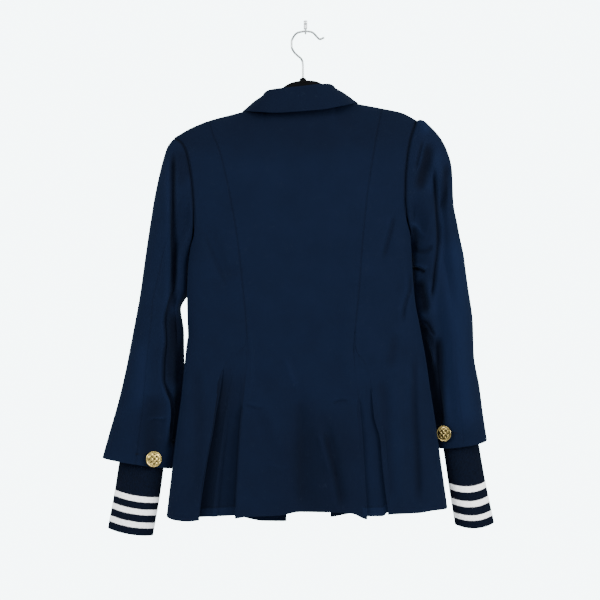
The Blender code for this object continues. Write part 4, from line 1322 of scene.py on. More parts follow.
@dataclass
class Fronts:
    """Open fronts with their lapels turned back.

    Rows of the lapel are (drop on the roll line, width, drop on the outer edge).
    """

    form: BodyForm
    wardrobe: Wardrobe
    rest: str
    lapel: Rows = ((191, 66, 221), (240, 68, 262), (300, 54, 312), (355, 36, 362), (412, 6, 415))
    creases: tuple[Crease, ...] = (
        Crease(((-150, 420), (-120, 520), (-100, 640)), 14, 3.0),
        Crease(((-90, 480), (-84, 620), (-92, 780)), 10, -3.0, 0.4, ends=0.15),
        Crease(((140, 400), (118, 500), (100, 620)), 14, 3.0),
        Crease(((96, 470), (90, 620), (98, 775)), 10, -3.0, -0.4, ends=0.15),
        Crease(((-170, 300), (-140, 360), (-96, 400)), 10, -2.5, 0.4),
        Crease(((150, 290), (120, 350), (84, 390)), 10, -2.5, -0.4),
    )
    crease_share: float = 0.6
    lapel_off: float = 2.1
    lapel_bow: float = 0.8
    lapel_roll: float = 1.6

    def depth(self, at: Spots) -> Array:
        """Depth of a front with soft folds, which fade at the side seam.

        Args:
            at: Places on the body.

        Returns:
            The depth at each place.
        """
        inside = smoothstep(np.minimum(at.share, 1 - at.share) / 0.1)
        folds = inside * relief_of(self.creases, at.across, at.drop) * self.crease_share
        return self.form.front_depth(at) + folds

    def face(self, across: Array, drop: Array) -> Array:
        """Depth of the front's face at places."""
        across, drop = np.broadcast_arrays(np.asarray(across, float), np.asarray(drop, float))
        return self.depth(self.form.front_spots(across, drop))

    def build(self) -> None:
        """Builds both fronts and both lapels."""
        levels = levels_of(self.form, 60, 150)
        for side in Side:
            name = f"front_{side.word}"
            lines = self.form.front_side(side), self.form.openings[side]
            shares = panel_shares(60, False, False, Side.LEFT)
            points, _ = self.form.grid(lines, levels, shares, self.form.hem_front, self.depth)
            cloth = Cloth(name + "_cloth", points, grid_normals(points, TO_WALL))
            self.wardrobe.dress_cloth(cloth, Suiting(), [self.rest], name)
            self.build_lapel(side)

    def build_lapel(self, side: Side) -> None:
        """A pointed strip from a rolled fold outwards: across is the roll line plus a share of the width.

        Args:
            side: The side of the picture that it is on.
        """
        way, over = even(70)[:, None], even(34)
        places = even(len(self.lapel))
        roll_drop, width, outer_drop = (np.interp(way, places, column) for column in np.transpose(self.lapel))
        drop = roll_drop + over * (outer_drop - roll_drop)
        across = self.form.openings[side](roll_drop) + side.value * (1.0 + over * width)
        bowed = self.lapel_bow * np.sin(math.pi * over)
        depth = self.face(across, drop) + self.lapel_off + bowed - self.lapel_roll * bell(over, 0.08)
        points = np.stack([across, depth, -drop], axis=-1)
        name = f"lapel_{side.word}"
        cloth = Cloth(name + "_cloth", points, grid_normals(points, TO_WALL))
        self.wardrobe.dress_cloth(cloth, Suiting(), [f"front_{side.word}_cloth"], name)


# The sleeves and their cuffs


@dataclass
class Sleeve:
    """A two-piece sleeve: a rounded box round chords from the outer outline to the inner one.

    Sections are (outer across, outer drop, inner across, inner drop, outer depth, inner depth, half depth,
    bow). Long creases are (angle, from, to, half angle, height). The angle round a section is 0 on the outer
    outline and 90 away from the wall.
    """

    side: Side
    form: BodyForm
    wardrobe: Wardrobe
    sections: Rows
    long_creases: Rows
    creases: tuple[Crease, ...]
    arm_seams: Rows = ((0, 105, -105), (0.35, 86, -100), (0.6, 74, -98), (1, 88, -96))
    upper_columns: int = 110
    under_columns: int = 84
    squareness: float = 2.2
    loop_fade: float = 0.45
    hem_dip: float = 8.5
    hem_dip_from: float = 0.84
    groove: float = 1.0
    groove_width: float = 1.5
    groove_shade: float = 0.35
    puckers: Rows = ((15.1, 0.12, 0.2), (10.3, 0.09, 0.5))
    pucker_reach: float = 6.0
    head_groove: float = 1.6
    head_width: float = 2.4
    head_shade: float = 0.9
    head_shade_width: float = 2.6
    crease_shade: float = 4.0
    seam_shows: Rows = ((0, 0.1), (0.3, 0.1), (0.45, 0.6), (1, 0.6))
    dense: dict = field(default_factory=dict)

    def armhole(self, angle: Array) -> Array:
        """Points of the armhole seam on the body, for angles round the sleeve.

        Args:
            angle: Angles round the sleeve, in radians.

        Returns:
            A point for each angle.
        """
        angle = (angle + math.pi) % (2 * math.pi) - math.pi
        level = self.form.underarm * (1 - np.cos(angle)) / 2
        edge, cut = self.form.edge(self.side), self.form.front_side(self.side)
        back = self.form.place(edge, level, self.form.hem_back)
        front = self.form.place(cut, level, self.form.hem_front)
        on_back = back.across, self.form.back_depth(back), -back.drop
        on_front = front.across, self.form.front_depth(front), -front.drop
        return np.stack([np.where(angle < 0, *pair) for pair in zip(on_front, on_back)], axis=-1)

    def loose(self, ways: Array, angles: Array) -> Array:
        """The sleeve before its head is set in: outer point + share of the chord, bowed and swollen.

        Args:
            ways: Share of the way down of each row.
            angles: Angle round of each point, in radians.

        Returns:
            Rows by columns by 3.
        """
        columns = sample(self.sections, ways).T[..., None]
        outer_x, outer_drop, inner_x, inner_drop, outer_y, inner_y, half_depth, bow = columns
        turn, deep = squared(angles, 2 / self.squareness)
        chord = np.stack([inner_x - outer_x, inner_y - outer_y, outer_drop - inner_drop], axis=-1)
        bow_way = unit(np.stack([chord[..., 2], 0 * bow, -chord[..., 0]], axis=-1)) * -self.side.value
        outer = np.stack([outer_x, outer_y, -outer_drop], axis=-1)
        points = outer + ((1 - turn) / 2)[..., None] * chord + (np.abs(deep) * bow)[..., None] * bow_way
        swell = half_depth + self.long_relief(ways[:, None], angles)
        points[..., 1] -= deep * swell
        dipped = smoothstep((ways[:, None] - self.hem_dip_from) / (1 - self.hem_dip_from))
        points[..., 2] -= self.hem_dip * np.maximum(deep, 0) * dipped
        return points

    def long_relief(self, ways: Array, angles: Array) -> Array:
        """The solids' long creases, as bells round the section.

        Args:
            ways: Share of the way down of each row.
            angles: Angle round of each point, in radians.

        Returns:
            The height to add to the half depth at each point.
        """
        total = np.zeros(angles.shape)
        for middle, start, end, half, height in self.long_creases:
            run = (ways - start) / (end - start)
            off = (np.degrees(angles) - middle + 180) % 360 - 180
            total = total + height * bell(off, half) * smoothstep(run / 0.25) * smoothstep((1 - run) / 0.3)
        return total

    def points(self, ways: Array, angles: Array) -> Array:
        """The sleeve with its head moved on to the armhole seam.

        Args:
            ways: Share of the way down of each row.
            angles: Angle round of each point, in radians.

        Returns:
            Rows by columns by 3.
        """
        points = self.loose(ways, angles)
        start = self.loose(np.zeros(1), angles[:1])[0]
        fade = (1 - smoothstep(ways / self.loop_fade))[:, None, None]
        return points + fade * (self.armhole(angles[0]) - start)

    def creased(self, ways: Array, angles: Array) -> tuple[Array, ...]:
        """The sleeve with the fine creases on the face that is turned away from the wall.

        Args:
            ways: Share of the way down of each row.
            angles: Angle round of each point, in radians.

        Returns:
            The points, their normals, and the height of the creases.
        """
        points = self.points(ways, angles)
        middle = self.points(ways, np.tile(turns(24), (len(ways), 1)))
        out = points - middle.mean(axis=1, keepdims=True)
        normals = grid_normals(points, out)
        facing = smoothstep(-normals[..., 1] / 0.6)
        relief = relief_of(self.creases, points[..., 0], -points[..., 2]) * facing
        points = points + relief[..., None] * normals
        return points, grid_normals(points, out), relief

    def build(self) -> None:
        """Builds the upper and the under sleeve."""
        ways = np.concatenate([np.linspace(0, 0.06, 16), np.linspace(0.064, 0.992, 226), [0.996, 1.0]])
        back, front = (np.radians(curve(self.arm_seams, k)(ways)) for k in (1, 2))
        for piece, start, end, count in (
            ("upper", front, back, self.upper_columns),
            ("under", back, front + 2 * math.pi, self.under_columns),
        ):
            share = panel_shares(count, True, True)
            angles = start[:, None] + share * (end - start)[:, None]
            points, normals, relief = self.creased(ways, angles)
            # Painted shade in the creases and painted highlight on their banks; the seam and sleeve head
            # grooves below add painted shade
            fold = np.tanh(relief / self.crease_shade)
            walked = arc_lengths(points, 1)
            shows = curve(self.seam_shows)(ways)[:, None]
            for away in (walked, walked[:, -1:] - walked):
                line = bell(away, self.groove_width) * shows
                pucker = ripple(points[..., 2], self.puckers) * np.exp(-away / self.pucker_reach) * shows
                points = points - (self.groove * line + pucker)[..., None] * normals
                fold = fold - self.groove_shade * line
            down = arc_lengths(points, 0)
            points = points - self.head_groove * bell(down, self.head_width)[..., None] * normals
            fold = fold - self.head_shade * bell(down, self.head_shade_width)
            self.dense[piece] = points, normals
            name = f"{piece}_sleeve_{self.side.word}"
            cloth = Cloth(name + "_cloth", points, normals, fold=fold)
            rest = f"back_side_{self.side.word}_cloth"
            self.wardrobe.dress_cloth(cloth, Suiting(), [rest], name)

    def face(self, across: float, drop: float) -> tuple[Array, Array]:
        """The point of the sleeve's outer face nearest to a place, and its normal.

        Args:
            across: Across of the place.
            drop: Drop of the place.

        Returns:
            The point and the normal.
        """
        best = None
        for points, normals in self.dense.values():
            away = np.hypot(points[..., 0] - across, points[..., 2] + drop) + 1000 * (normals[..., 1] > -0.2)
            spot = np.unravel_index(away.argmin(), away.shape)
            if best is None or away[spot] < best[0]:
                best = away[spot], points[spot], normals[spot]
        return best[1], best[2]


@dataclass
class Cuff:
    """A knitted tube sewn inside the sleeve's end.

    Rings are (outer across, outer drop, inner across, inner drop, middle depth, half depth).
    """

    sleeve: Sleeve
    wardrobe: Wardrobe
    rings: Rows
    sag: float
    knit: StripedKnit
    seam_way: float = 0.93
    inside: float = 2.6
    ribs: int = 72
    rib_height: float = 0.32
    thickness: float = 1.5
    rows: int = 96
    sewn_rows: int = 12

    def build(self) -> None:
        """Ellipses between the two outlines, with ribs as a sine round the tube."""
        angles = turns(4 * self.ribs)
        top = self.sleeve.points(np.array([self.seam_way]), angles[None, :])[0]
        top = top - self.inside * unit(top - top.mean(axis=0))
        ways = even(self.rows)
        outer_x, outer_drop, inner_x, inner_drop, middle, half = sample(self.rings, ways).T[..., None]
        share = (1 - np.cos(angles)) / 2
        drop = outer_drop + share * (inner_drop - outer_drop) + self.sag * ways[:, None] * np.sin(angles) ** 2
        depth = middle - half * np.sin(angles)
        body = np.stack([outer_x + share * (inner_x - outer_x), depth, -drop], axis=-1)
        blend = smoothstep(np.linspace(0, 1, self.sewn_rows, endpoint=False))[:, None, None]
        points = np.concatenate([top + blend * (body[0] - top), body])
        normals = grid_normals(points, points - points.mean(axis=1, keepdims=True), closed=True)
        rib = self.rib_height * np.sin(self.ribs * angles)[None, :, None]
        points = points + rib * normals
        name = f"cuff_{self.sleeve.side.word}"
        cloth = Cloth(name + "_knit", points, normals, self.thickness, closed=True, crisp=False)
        rest = f"upper_sleeve_{self.sleeve.side.word}_cloth"
        self.wardrobe.dress_cloth(cloth, self.knit, [rest], name)


# Buttons and buttonholes


@dataclass
class Button:
    """A domed shank button with a roped rim and a woven knot in relief."""

    name: str
    node: str
    place: Array
    normal: Array
    wardrobe: Wardrobe
    gold: AgedGold = AgedGold()
    profile: Rows = (
        (0.3, 6.0), (3, 5.95), (6, 5.75), (9, 5.3), (10.2, 5.05), (10.9, 5.15), (11.4, 5.5), (11.9, 5.6),
        (12.4, 5.3), (12.8, 4.5), (12.6, 3.7), (11.6, 3.2), (7, 2.9), (2.9, 2.7), (2.6, 2.2), (2.6, 0.3),
        (0.3, 0.3),
    )
    dome_above: float = 4.2
    weave_pitch: float = 5.6
    weave_radius: float = 10.0
    relief: float = 1.3
    rim_radius: float = 11.9
    rim_turns: int = 44
    rim_relief: float = 0.10
    rim_width: float = 0.7
    rim_valley: float = 10.6
    valley_width: float = 0.5
    rows: int = 110
    columns: int = 120

    def woven(self, x: Array, y: Array) -> Array:
        """Two crossing sets of round strands that pass over and under each other, from 0 to 1.

        Args:
            x: Place to the side of the button's middle.
            y: Place above the button's middle.

        Returns:
            The height of the upper strand, and 0 in a gap.
        """
        pitch = math.sqrt(2) * self.weave_pitch
        one, other = (x + y) / pitch, (y - x) / pitch
        height = np.zeros_like(x)
        for cross, along, way in ((one, other, 1), (other, one, -1)):
            strand = np.floor(cross)
            rounded = np.sqrt(np.clip(1 - ((cross - strand - 0.5) / 0.42) ** 2, 0, 1))
            over = way * np.where(strand % 2 == 0, 1, -1) * np.sin(math.pi * along)
            height = np.maximum(height, rounded * (0.66 + 0.34 * over))
        return height

    def build(self) -> Piece:
        """Turns the profile round the button's axis and raises the weave on its dome.

        Returns:
            The button.
        """
        radius, height = sample(self.profile, even(self.rows)).T[..., None]
        angle = turns(self.columns)
        x, y = radius * np.cos(angle), radius * np.sin(angle)
        top = height > self.dome_above
        woven = self.woven(x, y)
        inside = smoothstep((self.weave_radius - np.hypot(x, y)) / 1.6) * top
        rope = 0.5 + 0.5 * np.sin(self.rim_turns * angle + 1.1 * radius)
        on_rim = bell(radius - self.rim_radius, self.rim_width) * top
        z = height + self.relief * (woven - 0.5) * inside + self.rim_relief * rope * on_rim
        side = unit(np.cross(self.normal, (0, 0, 1)))
        up = np.cross(side, self.normal)
        points = self.place + x[..., None] * side + y[..., None] * up + z[..., None] * self.normal
        piece = closed_solid(self.name, points)
        low = inside * np.clip(1.15 * (1 - woven), 0, 1) ** 1.4 + on_rim * (1 - rope) * 0.12
        low += 0.4 * bell(radius - self.rim_valley, self.valley_width) * top + 0.5 * ~top
        values = np.append(np.clip(low, 0, 1).ravel(), (0.5, 0.5)).astype(np.float32)
        piece.data.attributes.new("hollow", "FLOAT", "POINT").data.foreach_set("value", values)
        return self.wardrobe.dress(piece, self.gold, self.node)


@dataclass
class Buttonhole:
    """A worked buttonhole: a long loop of thread laid on the cloth, with stitches across it."""

    name: str
    start: Array
    end: Array
    normal: Array
    wardrobe: Wardrobe
    half_width: float = 0.9
    thread: float = 0.42
    thread_wave: float = 0.22
    stitch: float = 0.9
    flatness: float = 0.8
    steps: int = 220

    def build(self) -> Piece:
        """Sweeps a bead of thread, whose radius waves once a stitch, along a stadium from start to end.

        Returns:
            The buttonhole.
        """
        along = unit(self.end - self.start)
        side = np.cross(self.normal, along)
        straight, half = float(np.linalg.norm(self.end - self.start)), self.half_width
        bend = math.pi * half
        walk = np.linspace(0, 1, self.steps, endpoint=False) * 2 * (straight + bend)
        first, second = (walk - straight) / half, (walk - 2 * straight - bend) / half
        parts = [walk < straight, walk < straight + bend, walk < 2 * straight + bend]
        runs = [walk, straight + half * np.sin(first), 2 * straight + bend - walk]
        run = np.select(parts, runs, -half * np.sin(second))
        off = np.select(parts, [half, half * np.cos(first), -half], -half * np.cos(second))
        path = self.start + run[:, None] * along + off[:, None] * side
        tangent = unit(np.roll(path, -1, axis=0) - np.roll(path, 1, axis=0))
        across = np.cross(tangent, self.normal)
        radius = self.thread * (1 + self.thread_wave * np.sin(2 * math.pi * walk / self.stitch))
        angle = turns(8)[:, None]
        ring = across[:, None] * np.cos(angle) + self.normal * np.sin(angle) * self.flatness
        piece = closed_solid(self.name, path[:, None] + radius[:, None, None] * ring, middle_caps=False)
        return self.wardrobe.dress(piece, Thread())


# The collar


@dataclass
class Collar:
    """Stand, fold and fall round the back of the neck, tilted with the hanger.

    Sections are fold, edge and seam points (x, y, z) for one half, in a frame round the neck's middle.
    """

    wardrobe: Wardrobe
    middle: tuple[float, float] = (-8.5, -135.5)
    tilt: float = math.radians(4.2)
    fold_gap: float = 2.6
    fold_lean: float = 0.06
    # Painted shade spread evenly over the collar's colour
    nap: float = -0.34
    ripples: Rows = ((61, 0.35, 0.2), (37, 0.2, 0.7))
    ripple_reach: float = 18.0
    stitched_in: float = 5.5
    stitch_groove: float = 0.28
    stitch_width: float = 0.9
    thickness: float = 1.5
    sections: Rows = (
        (0, -60, 31, 0, -70.5, -10, 0, -54, 7), (28, -57, 31, 37, -69, -9, 25, -51, 7.5),
        (46, -49, 30.5, 66, -61, -5, 42, -44, 8.5), (54, -38, 28, 83, -45, -0.8, 51, -34, 10.5),
        (57, -24, 25.5, 92, -24, 2.2, 54, -24, 13), (58, -13, 17, 96, -9.5, -12, 55, -15, 3),
        (57, -8.5, -4, 99, -7.5, -32, 54.5, -12, -14), (53.5, -7.5, -28, 101, -7, -50, 52, -12, -36),
        (50.5, -7.5, -50, 101, -6.5, -63, 49.5, -12, -54),
    )

    def grid(self, count: int, steps: int) -> Array:
        """Rows from one front end round the neck to the other, and columns from the seam over to the edge.

        Args:
            count: Number of rows.
            steps: Number of columns.

        Returns:
            The outer face's points.
        """
        way = np.linspace(-1, 1, count)
        at = sample(self.sections, np.abs(way)).reshape(count, 3, 3)
        at[:, :, 0] *= np.where(way < 0, -1, 1)[:, None]
        at[:, 0, 2] += self.fold_lean * np.maximum(at[:, 0, 0], 0)
        fold, edge, seam = at[:, 0], at[:, 1], at[:, 2]
        out = unit((edge - fold) * np.array([1, 1, 0]))
        up, g = np.array([0, 0, 1.0]), self.fold_gap
        profile = np.stack([
            seam, seam + 0.55 * (fold - g * out - seam), fold - g * out - 3.2 * up,
            fold - 0.6 * g * out - 0.8 * up, fold + 0.5 * g * out - 0.6 * up, fold + 1.1 * g * out - 3.2 * up,
            fold + 0.4 * (edge - fold) + 2.0 * out, fold + 0.72 * (edge - fold) + 1.2 * out, edge,
        ])
        points = sample(profile, even(steps)).swapaxes(0, 1)
        x = self.middle[0] + points[..., 0] * math.cos(self.tilt) - points[..., 2] * math.sin(self.tilt)
        z = self.middle[1] + points[..., 2] * math.cos(self.tilt) + points[..., 0] * math.sin(self.tilt)
        return np.stack([x, points[..., 1], z], axis=-1)

    def build(self) -> None:
        """Builds the collar with a faint edge stitching groove."""
        points = self.grid(181, 58)
        middle = points[len(points) // 2, -1]
        normals = grid_normals(points, FROM_WALL)
        fall = normals[len(points) // 2, -4]
        normals = normals if fall @ (middle - (self.middle[0], -40, middle[2])) > 0 else -normals
        walked = arc_lengths(points, 1)
        from_edge = walked[:, -1:] - walked
        soft = ripple(arc_lengths(points, 0), self.ripples) * np.exp(-from_edge / self.ripple_reach)
        stitched = self.stitch_groove * bell(from_edge - self.stitched_in, self.stitch_width)
        points = points + (soft - stitched)[..., None] * normals
        # Painted shade over the whole collar
        nap = np.full(points.shape[:2], self.nap)
        cloth = Cloth("collar_cloth", points, normals, self.thickness, fold=nap)
        self.wardrobe.dress_cloth(cloth, Suiting(), ["back_centre_cloth"], "collar")


# The hanger and the wall hook


@dataclass
class Hanger:
    """A slim flocked hanger: a rounded section carried along its arms, and its wire hook."""

    form: BodyForm
    wardrobe: Wardrobe
    depth: float = -25.0
    half_thick: float = 2.3
    middle: tuple[float, float] = (-4.1, -91.0)
    arch: Rows = ((0, 0), (16, -2), (32, -9), (42, -22), (50, -40), (70, -50))
    blend: tuple[float, float] = (46, 70)
    ends: tuple[float, float] = (-196, 167)
    under_cloth: float = 3.9
    arm_depths: tuple[float, float] = (19.0, 11.0)
    tilt: float = math.radians(4.2)
    wire_radius: float = 1.65
    wire: Rows = (
        (29, 23), (23.3, 25.1), (18.5, 21.4), (13.7, 16.2), (8.8, 13.3), (0, 12.4), (-8.9, 13.6),
        (-13.8, 15.3), (-19.4, 21.4), (-22.5, 29.5), (-22.3, 37.5), (-18.6, 45.6), (-12.2, 52.1),
        (-7.3, 56.4), (-4.6, 62.5), (-4.1, 71.4), (-4.1, 87.1),
    )
    neck: Rows = (
        (0.3, 3.7), (2.2, 3.6), (3.9, 3.0), (5.0, 1.8), (5.4, 0.3), (5.8, -1.4), (6.8, -3.2), (0.3, -4.0),
    )
    neck_flatness: float = 0.66
    end_radius: float = 5.5
    end_steps: tuple[float, ...] = (0, 0.25, 0.7, 1.4, 2.4, 3.6, 5.0)
    arm_from: float = 6.5
    arm_columns: int = 190
    section_power: float = 0.55

    def top(self, across: Array) -> Array:
        """Height of the arms' top: an arch at the neck that eases into the line under the shoulders.

        Args:
            across: Across of the places.

        Returns:
            The height at each place.
        """
        out = across - self.middle[0]
        free = self.middle[1] + curve(self.arch)(np.abs(out)) + out * math.tan(self.tilt)
        under = -self.form.shoulder(across) - self.under_cloth
        blend = smoothstep((np.abs(out) - self.blend[0]) / (self.blend[1] - self.blend[0]))
        return (1 - blend) * free + blend * under

    def build(self) -> None:
        """Builds the arms and the hook."""
        (low, high), tips = self.ends, np.array(self.end_steps)
        between = np.linspace(low + self.arm_from, high - self.arm_from, self.arm_columns)
        across = np.concatenate([low + tips, between, high - tips[::-1]])
        tip = np.minimum(across - low, high - across)
        rounded = np.sqrt(np.clip(1 - (1 - np.clip(tip / self.end_radius, 0.002, 1)) ** 2, 0, 1))
        out = np.clip(np.abs(across - self.middle[0]) / (high - self.middle[0]), 0, 1)
        tall = self.arm_depths[0] + (self.arm_depths[1] - self.arm_depths[0]) * out
        centre = self.top(across) - tall / 2
        flat = squared(turns(36), self.section_power)
        y = self.depth + self.half_thick * rounded[:, None] * flat[0]
        z = centre[:, None] + (tall / 2 * rounded)[:, None] * flat[1]
        points = np.stack([across[:, None] + 0 * y, y, z], axis=-1)
        self.wardrobe.dress(closed_solid("hanger_arms", points), Velvet(), "hanger_body")
        path = sample([(x, self.depth, -drop) for x, drop in self.wire], even(180))
        hook = swept_tube("hanger_wire", path, self.wire_radius, (0, 1, 0), 20)
        chrome = Metal("polished chrome", (0.30, 0.31, 0.315, 1.0), 0.16, 0.10, Slot.CHROME)
        self.wardrobe.dress(hook, chrome, "hanger_hook")
        self.build_neck()

    def build_neck(self) -> None:
        """The flocked dome that the wire comes out of: rings of the neck's rows, flattened in depth."""
        angle = turns(40)
        radius, height = sample(self.neck, even(30)).T[..., None]
        x = self.middle[0] + radius * np.cos(angle)
        y = self.depth + self.neck_flatness * radius * np.sin(angle)
        z = self.middle[1] + height + 0 * x
        self.wardrobe.dress(closed_solid("hanger_neck", np.stack([x, y, z], axis=-1)), Velvet())


@dataclass
class WallHook:
    """A small plate on the wall, with a nail head on it and a bent wire that carries the hanger."""

    wardrobe: Wardrobe
    plate: tuple[float, float, float] = (6.0, 1.5, 15.0)
    plate_middle_up: float = 1.5
    plate_power: float = 0.28
    plate_rings: Rows = (
        (0.9, 0.0), (0.97, 0.0), (1.0, 0.12), (1.0, 0.8), (0.97, 0.96), (0.9, 1.0), (0.3, 1.0),
    )
    nail_up: float = 5.0
    nail_gap: float = 0.3
    nail_head: Rows = (
        (0.2, 2.2), (1.0, 2.12), (1.8, 1.8), (2.35, 1.3), (2.6, 0.8), (2.6, 0.0), (0.2, 0.0),
    )
    wire_radius: float = 1.4
    wire: Rows = (
        (0, -1.8, -3.5), (0, -5, -4.5), (0, -9, -9), (0, -14, -14.0), (0, -24, -15.9), (0, -30, -13.4),
        (0, -33, -7.5), (0, -33, -4),
    )

    def build(self) -> None:
        """Builds the plate, the nail head and the wire."""
        steel = Metal("worn steel", (0.62, 0.63, 0.64, 1.0), 0.22, 0.2, Slot.STEEL)
        width, thick, tall = self.plate
        angle = turns(64)
        flat = squared(angle, self.plate_power)
        inset, deep = np.array(self.plate_rings).T[..., None]
        x = inset * flat[0] * width / 2
        y = -deep * thick + 0 * x
        z = self.plate_middle_up + (tall / 2 - width / 2 * (1 - inset)) * flat[1]
        self.wardrobe.dress(closed_solid("hook_plate", np.stack([x, y, z], axis=-1)), steel, "wall_plate")
        radius, height = np.array(self.nail_head).T[..., None]
        x = radius * np.cos(angle)
        y = -thick - self.nail_gap - height + 0 * x
        z = self.nail_up + radius * np.sin(angle)
        self.wardrobe.dress(closed_solid("nail_head", np.stack([x, y, z], axis=-1)), steel, "wall_nail")
        path = sample(self.wire, even(90))
        self.wardrobe.dress(swept_tube("hook_wire", path, self.wire_radius, (1, 0, 0)), steel, "wall_hook")


# The stage


@dataclass
class Studio:
    """Pale room, soft lights and the camera, which stands square to the back of the blazer."""

    camera_place: tuple[float, float, float] = (-0.0089, -3.0, -0.4459)
    seen_width: float = 0.96
    seen_at: float = 2.95
    sensor: float = 36.0
    floor_height: float = -1.25
    floor_tones: tuple = ((0.80, 0.81, 0.81, 1), (0.86, 0.87, 0.87, 1))
    air: tuple = (0.84, 0.975, 1.0, 1.0)
    seen_strength: float = 8.3
    light_strength: float = 0.80
    lamps_target: tuple[float, float, float] = (0.0, -0.05, -0.45)

    def build(self) -> None:
        """Sets the world, the floor, the lights and the camera."""
        self.build_world()
        self.build_floor()
        self.add_light("left_softbox", (-2.3, -1.9, 0.5), 1.3, 120.0)
        self.add_light("right_softbox", (2.4, -1.8, 0.2), 1.3, 150.0)
        self.add_light("front_softbox", (0.1, -1.5, 0.85), 1.0, 26.0)
        camera = bpy.data.objects.new("camera", bpy.data.cameras.new("camera"))
        camera.data.sensor_width = self.sensor
        camera.data.lens = self.sensor * self.seen_at / self.seen_width
        camera.location = self.camera_place
        camera.rotation_euler = (math.pi / 2, 0, 0)
        bpy.context.scene.collection.objects.link(camera)
        bpy.context.scene.camera = camera

    def build_world(self) -> None:
        """A plain pale air all round, whose light on the blazer is softer than its look."""
        world = bpy.data.worlds.new("pale room")
        world.use_nodes = True
        tree = world.node_tree
        lit, seen = tree.nodes["Background"], tree.nodes.new("ShaderNodeBackground")
        for node, strength in ((lit, self.light_strength), (seen, self.seen_strength)):
            node.inputs["Color"].default_value = self.air
            node.inputs["Strength"].default_value = strength
        ray, either = tree.nodes.new("ShaderNodeLightPath"), tree.nodes.new("ShaderNodeMixShader")
        tree.links.new(ray.outputs["Is Camera Ray"], either.inputs[0])
        tree.links.new(lit.outputs[0], either.inputs[1])
        tree.links.new(seen.outputs[0], either.inputs[2])
        tree.links.new(either.outputs[0], tree.nodes["World Output"].inputs["Surface"])
        bpy.context.scene.world = world

    def build_floor(self) -> None:
        """A plain pale floor below what the camera sees."""
        bpy.ops.mesh.primitive_plane_add(size=3.0, location=(0, 0, self.floor_height))
        floor = bpy.context.object
        floor.name = "floor"
        nodes = Nodes("pale floor")
        grain = nodes.noise(30.0, 4.0)
        nodes.link(nodes.ramp(grain, *zip((0.3, 0.7), self.floor_tones)), "Base Color")
        nodes.set(Roughness=0.8)
        floor.data.materials.append(nodes.material)

    def add_light(self, name: str, place: tuple, size: float, power: float) -> None:
        """Adds a square area light that looks at the middle of the blazer.

        Args:
            name: Name of the light.
            place: Where it hangs, in metres.
            size: Length of its sides, in metres.
            power: Its power, in watts.
        """
        light = bpy.data.lights.new(name, "AREA")
        light.size, light.energy = size, power
        lamp = bpy.data.objects.new(name, light)
        away = np.subtract(self.lamps_target, place)
        lamp.location = place
        flat = math.hypot(away[0], away[1])
        lamp.rotation_euler = (math.pi / 2 + math.atan2(away[2], flat), 0, math.atan2(-away[0], away[1]))
        bpy.context.scene.collection.objects.link(lamp)


LEFT_SLEEVE = dict(
    hem_dip=5.5,
    sections=(
        (-212, 184, -184.6, 361, -27, -43, 19, 17), (-222.2, 198.5, -185.6, 366, -30, -40, 22, 15),
        (-229.4, 221, -185.4, 373, -33, -36, 25, 12), (-238.8, 261, -186.2, 383, -36, -31, 27, 8),
        (-245, 293, -187.2, 396, -38, -28, 28, 5), (-250.8, 333, -187.5, 412, -40, -26, 29, 2),
        (-258.3, 385, -188.5, 434, -41, -25, 30, 0), (-265.6, 438, -200.8, 461, -42, -27, 30, 0),
        (-276, 494, -195.6, 500, -42, -29, 30, -1), (-286.8, 550, -195.4, 550, -41, -24, 29, -2),
        (-300, 607, -195, 604, -40, -23, 28, -3), (-314, 655, -203, 663, -38, -23, 27, -3),
        (-326.5, 698.5, -211.5, 716.5, -36, -24, 26, -4),
    ),
    long_creases=(
        (103, 0.04, 0.62, 15, -10), (60, 0.1, 0.5, 20, 4), (128, 0.5, 0.75, 10, -6), (115, 0.6, 0.98, 12, 4),
    ),
    creases=(
        Crease(((-214, 203), (-213, 254), (-211, 310), (-211, 366), (-212, 430), (-213, 465)),
               4, -6.5, -0.3, 0.12),
        Crease(((-206, 190), (-200, 230), (-196, 275)), 9, -1.8, 0, 0.3),
        Crease(((-214, 430), (-218, 455), (-223, 481), (-221, 510), (-225, 542), (-226, 571), (-217, 598),
                (-212, 625), (-216, 668)), 2.8, -4.2, -0.3, 0.1),
        Crease(((-215, 455), (-214, 502), (-216, 542), (-214, 590)), 8, -3.0, 0, 0.2),
        Crease(((-208, 460), (-205, 510), (-203, 550), (-203, 600)), 7, -6),
        Crease(((-201, 580), (-205, 640), (-211, 690)), 6, -5, 0, 0.2),
        Crease(((-258, 500), (-262, 560), (-268, 640)), 12, 2.5, 0, 0.3),
        Crease(((-240, 590), (-245, 650), (-250, 706)), 16, -2.6, 0, 0.25),
        Crease(((-226, 574), (-220, 593), (-212, 609), (-212, 630), (-215, 662), (-220, 689)), 3, -2.6, -0.6),
        Crease(((-207, 590), (-204, 622), (-207, 654), (-212, 689)), 3.5, -2.4),
        Crease(((-256, 638), (-241, 635), (-218, 634)), 1.8, 1.9),
        Crease(((-196, 206), (-189, 230), (-186, 254)), 5, -1.4),
    ),
)
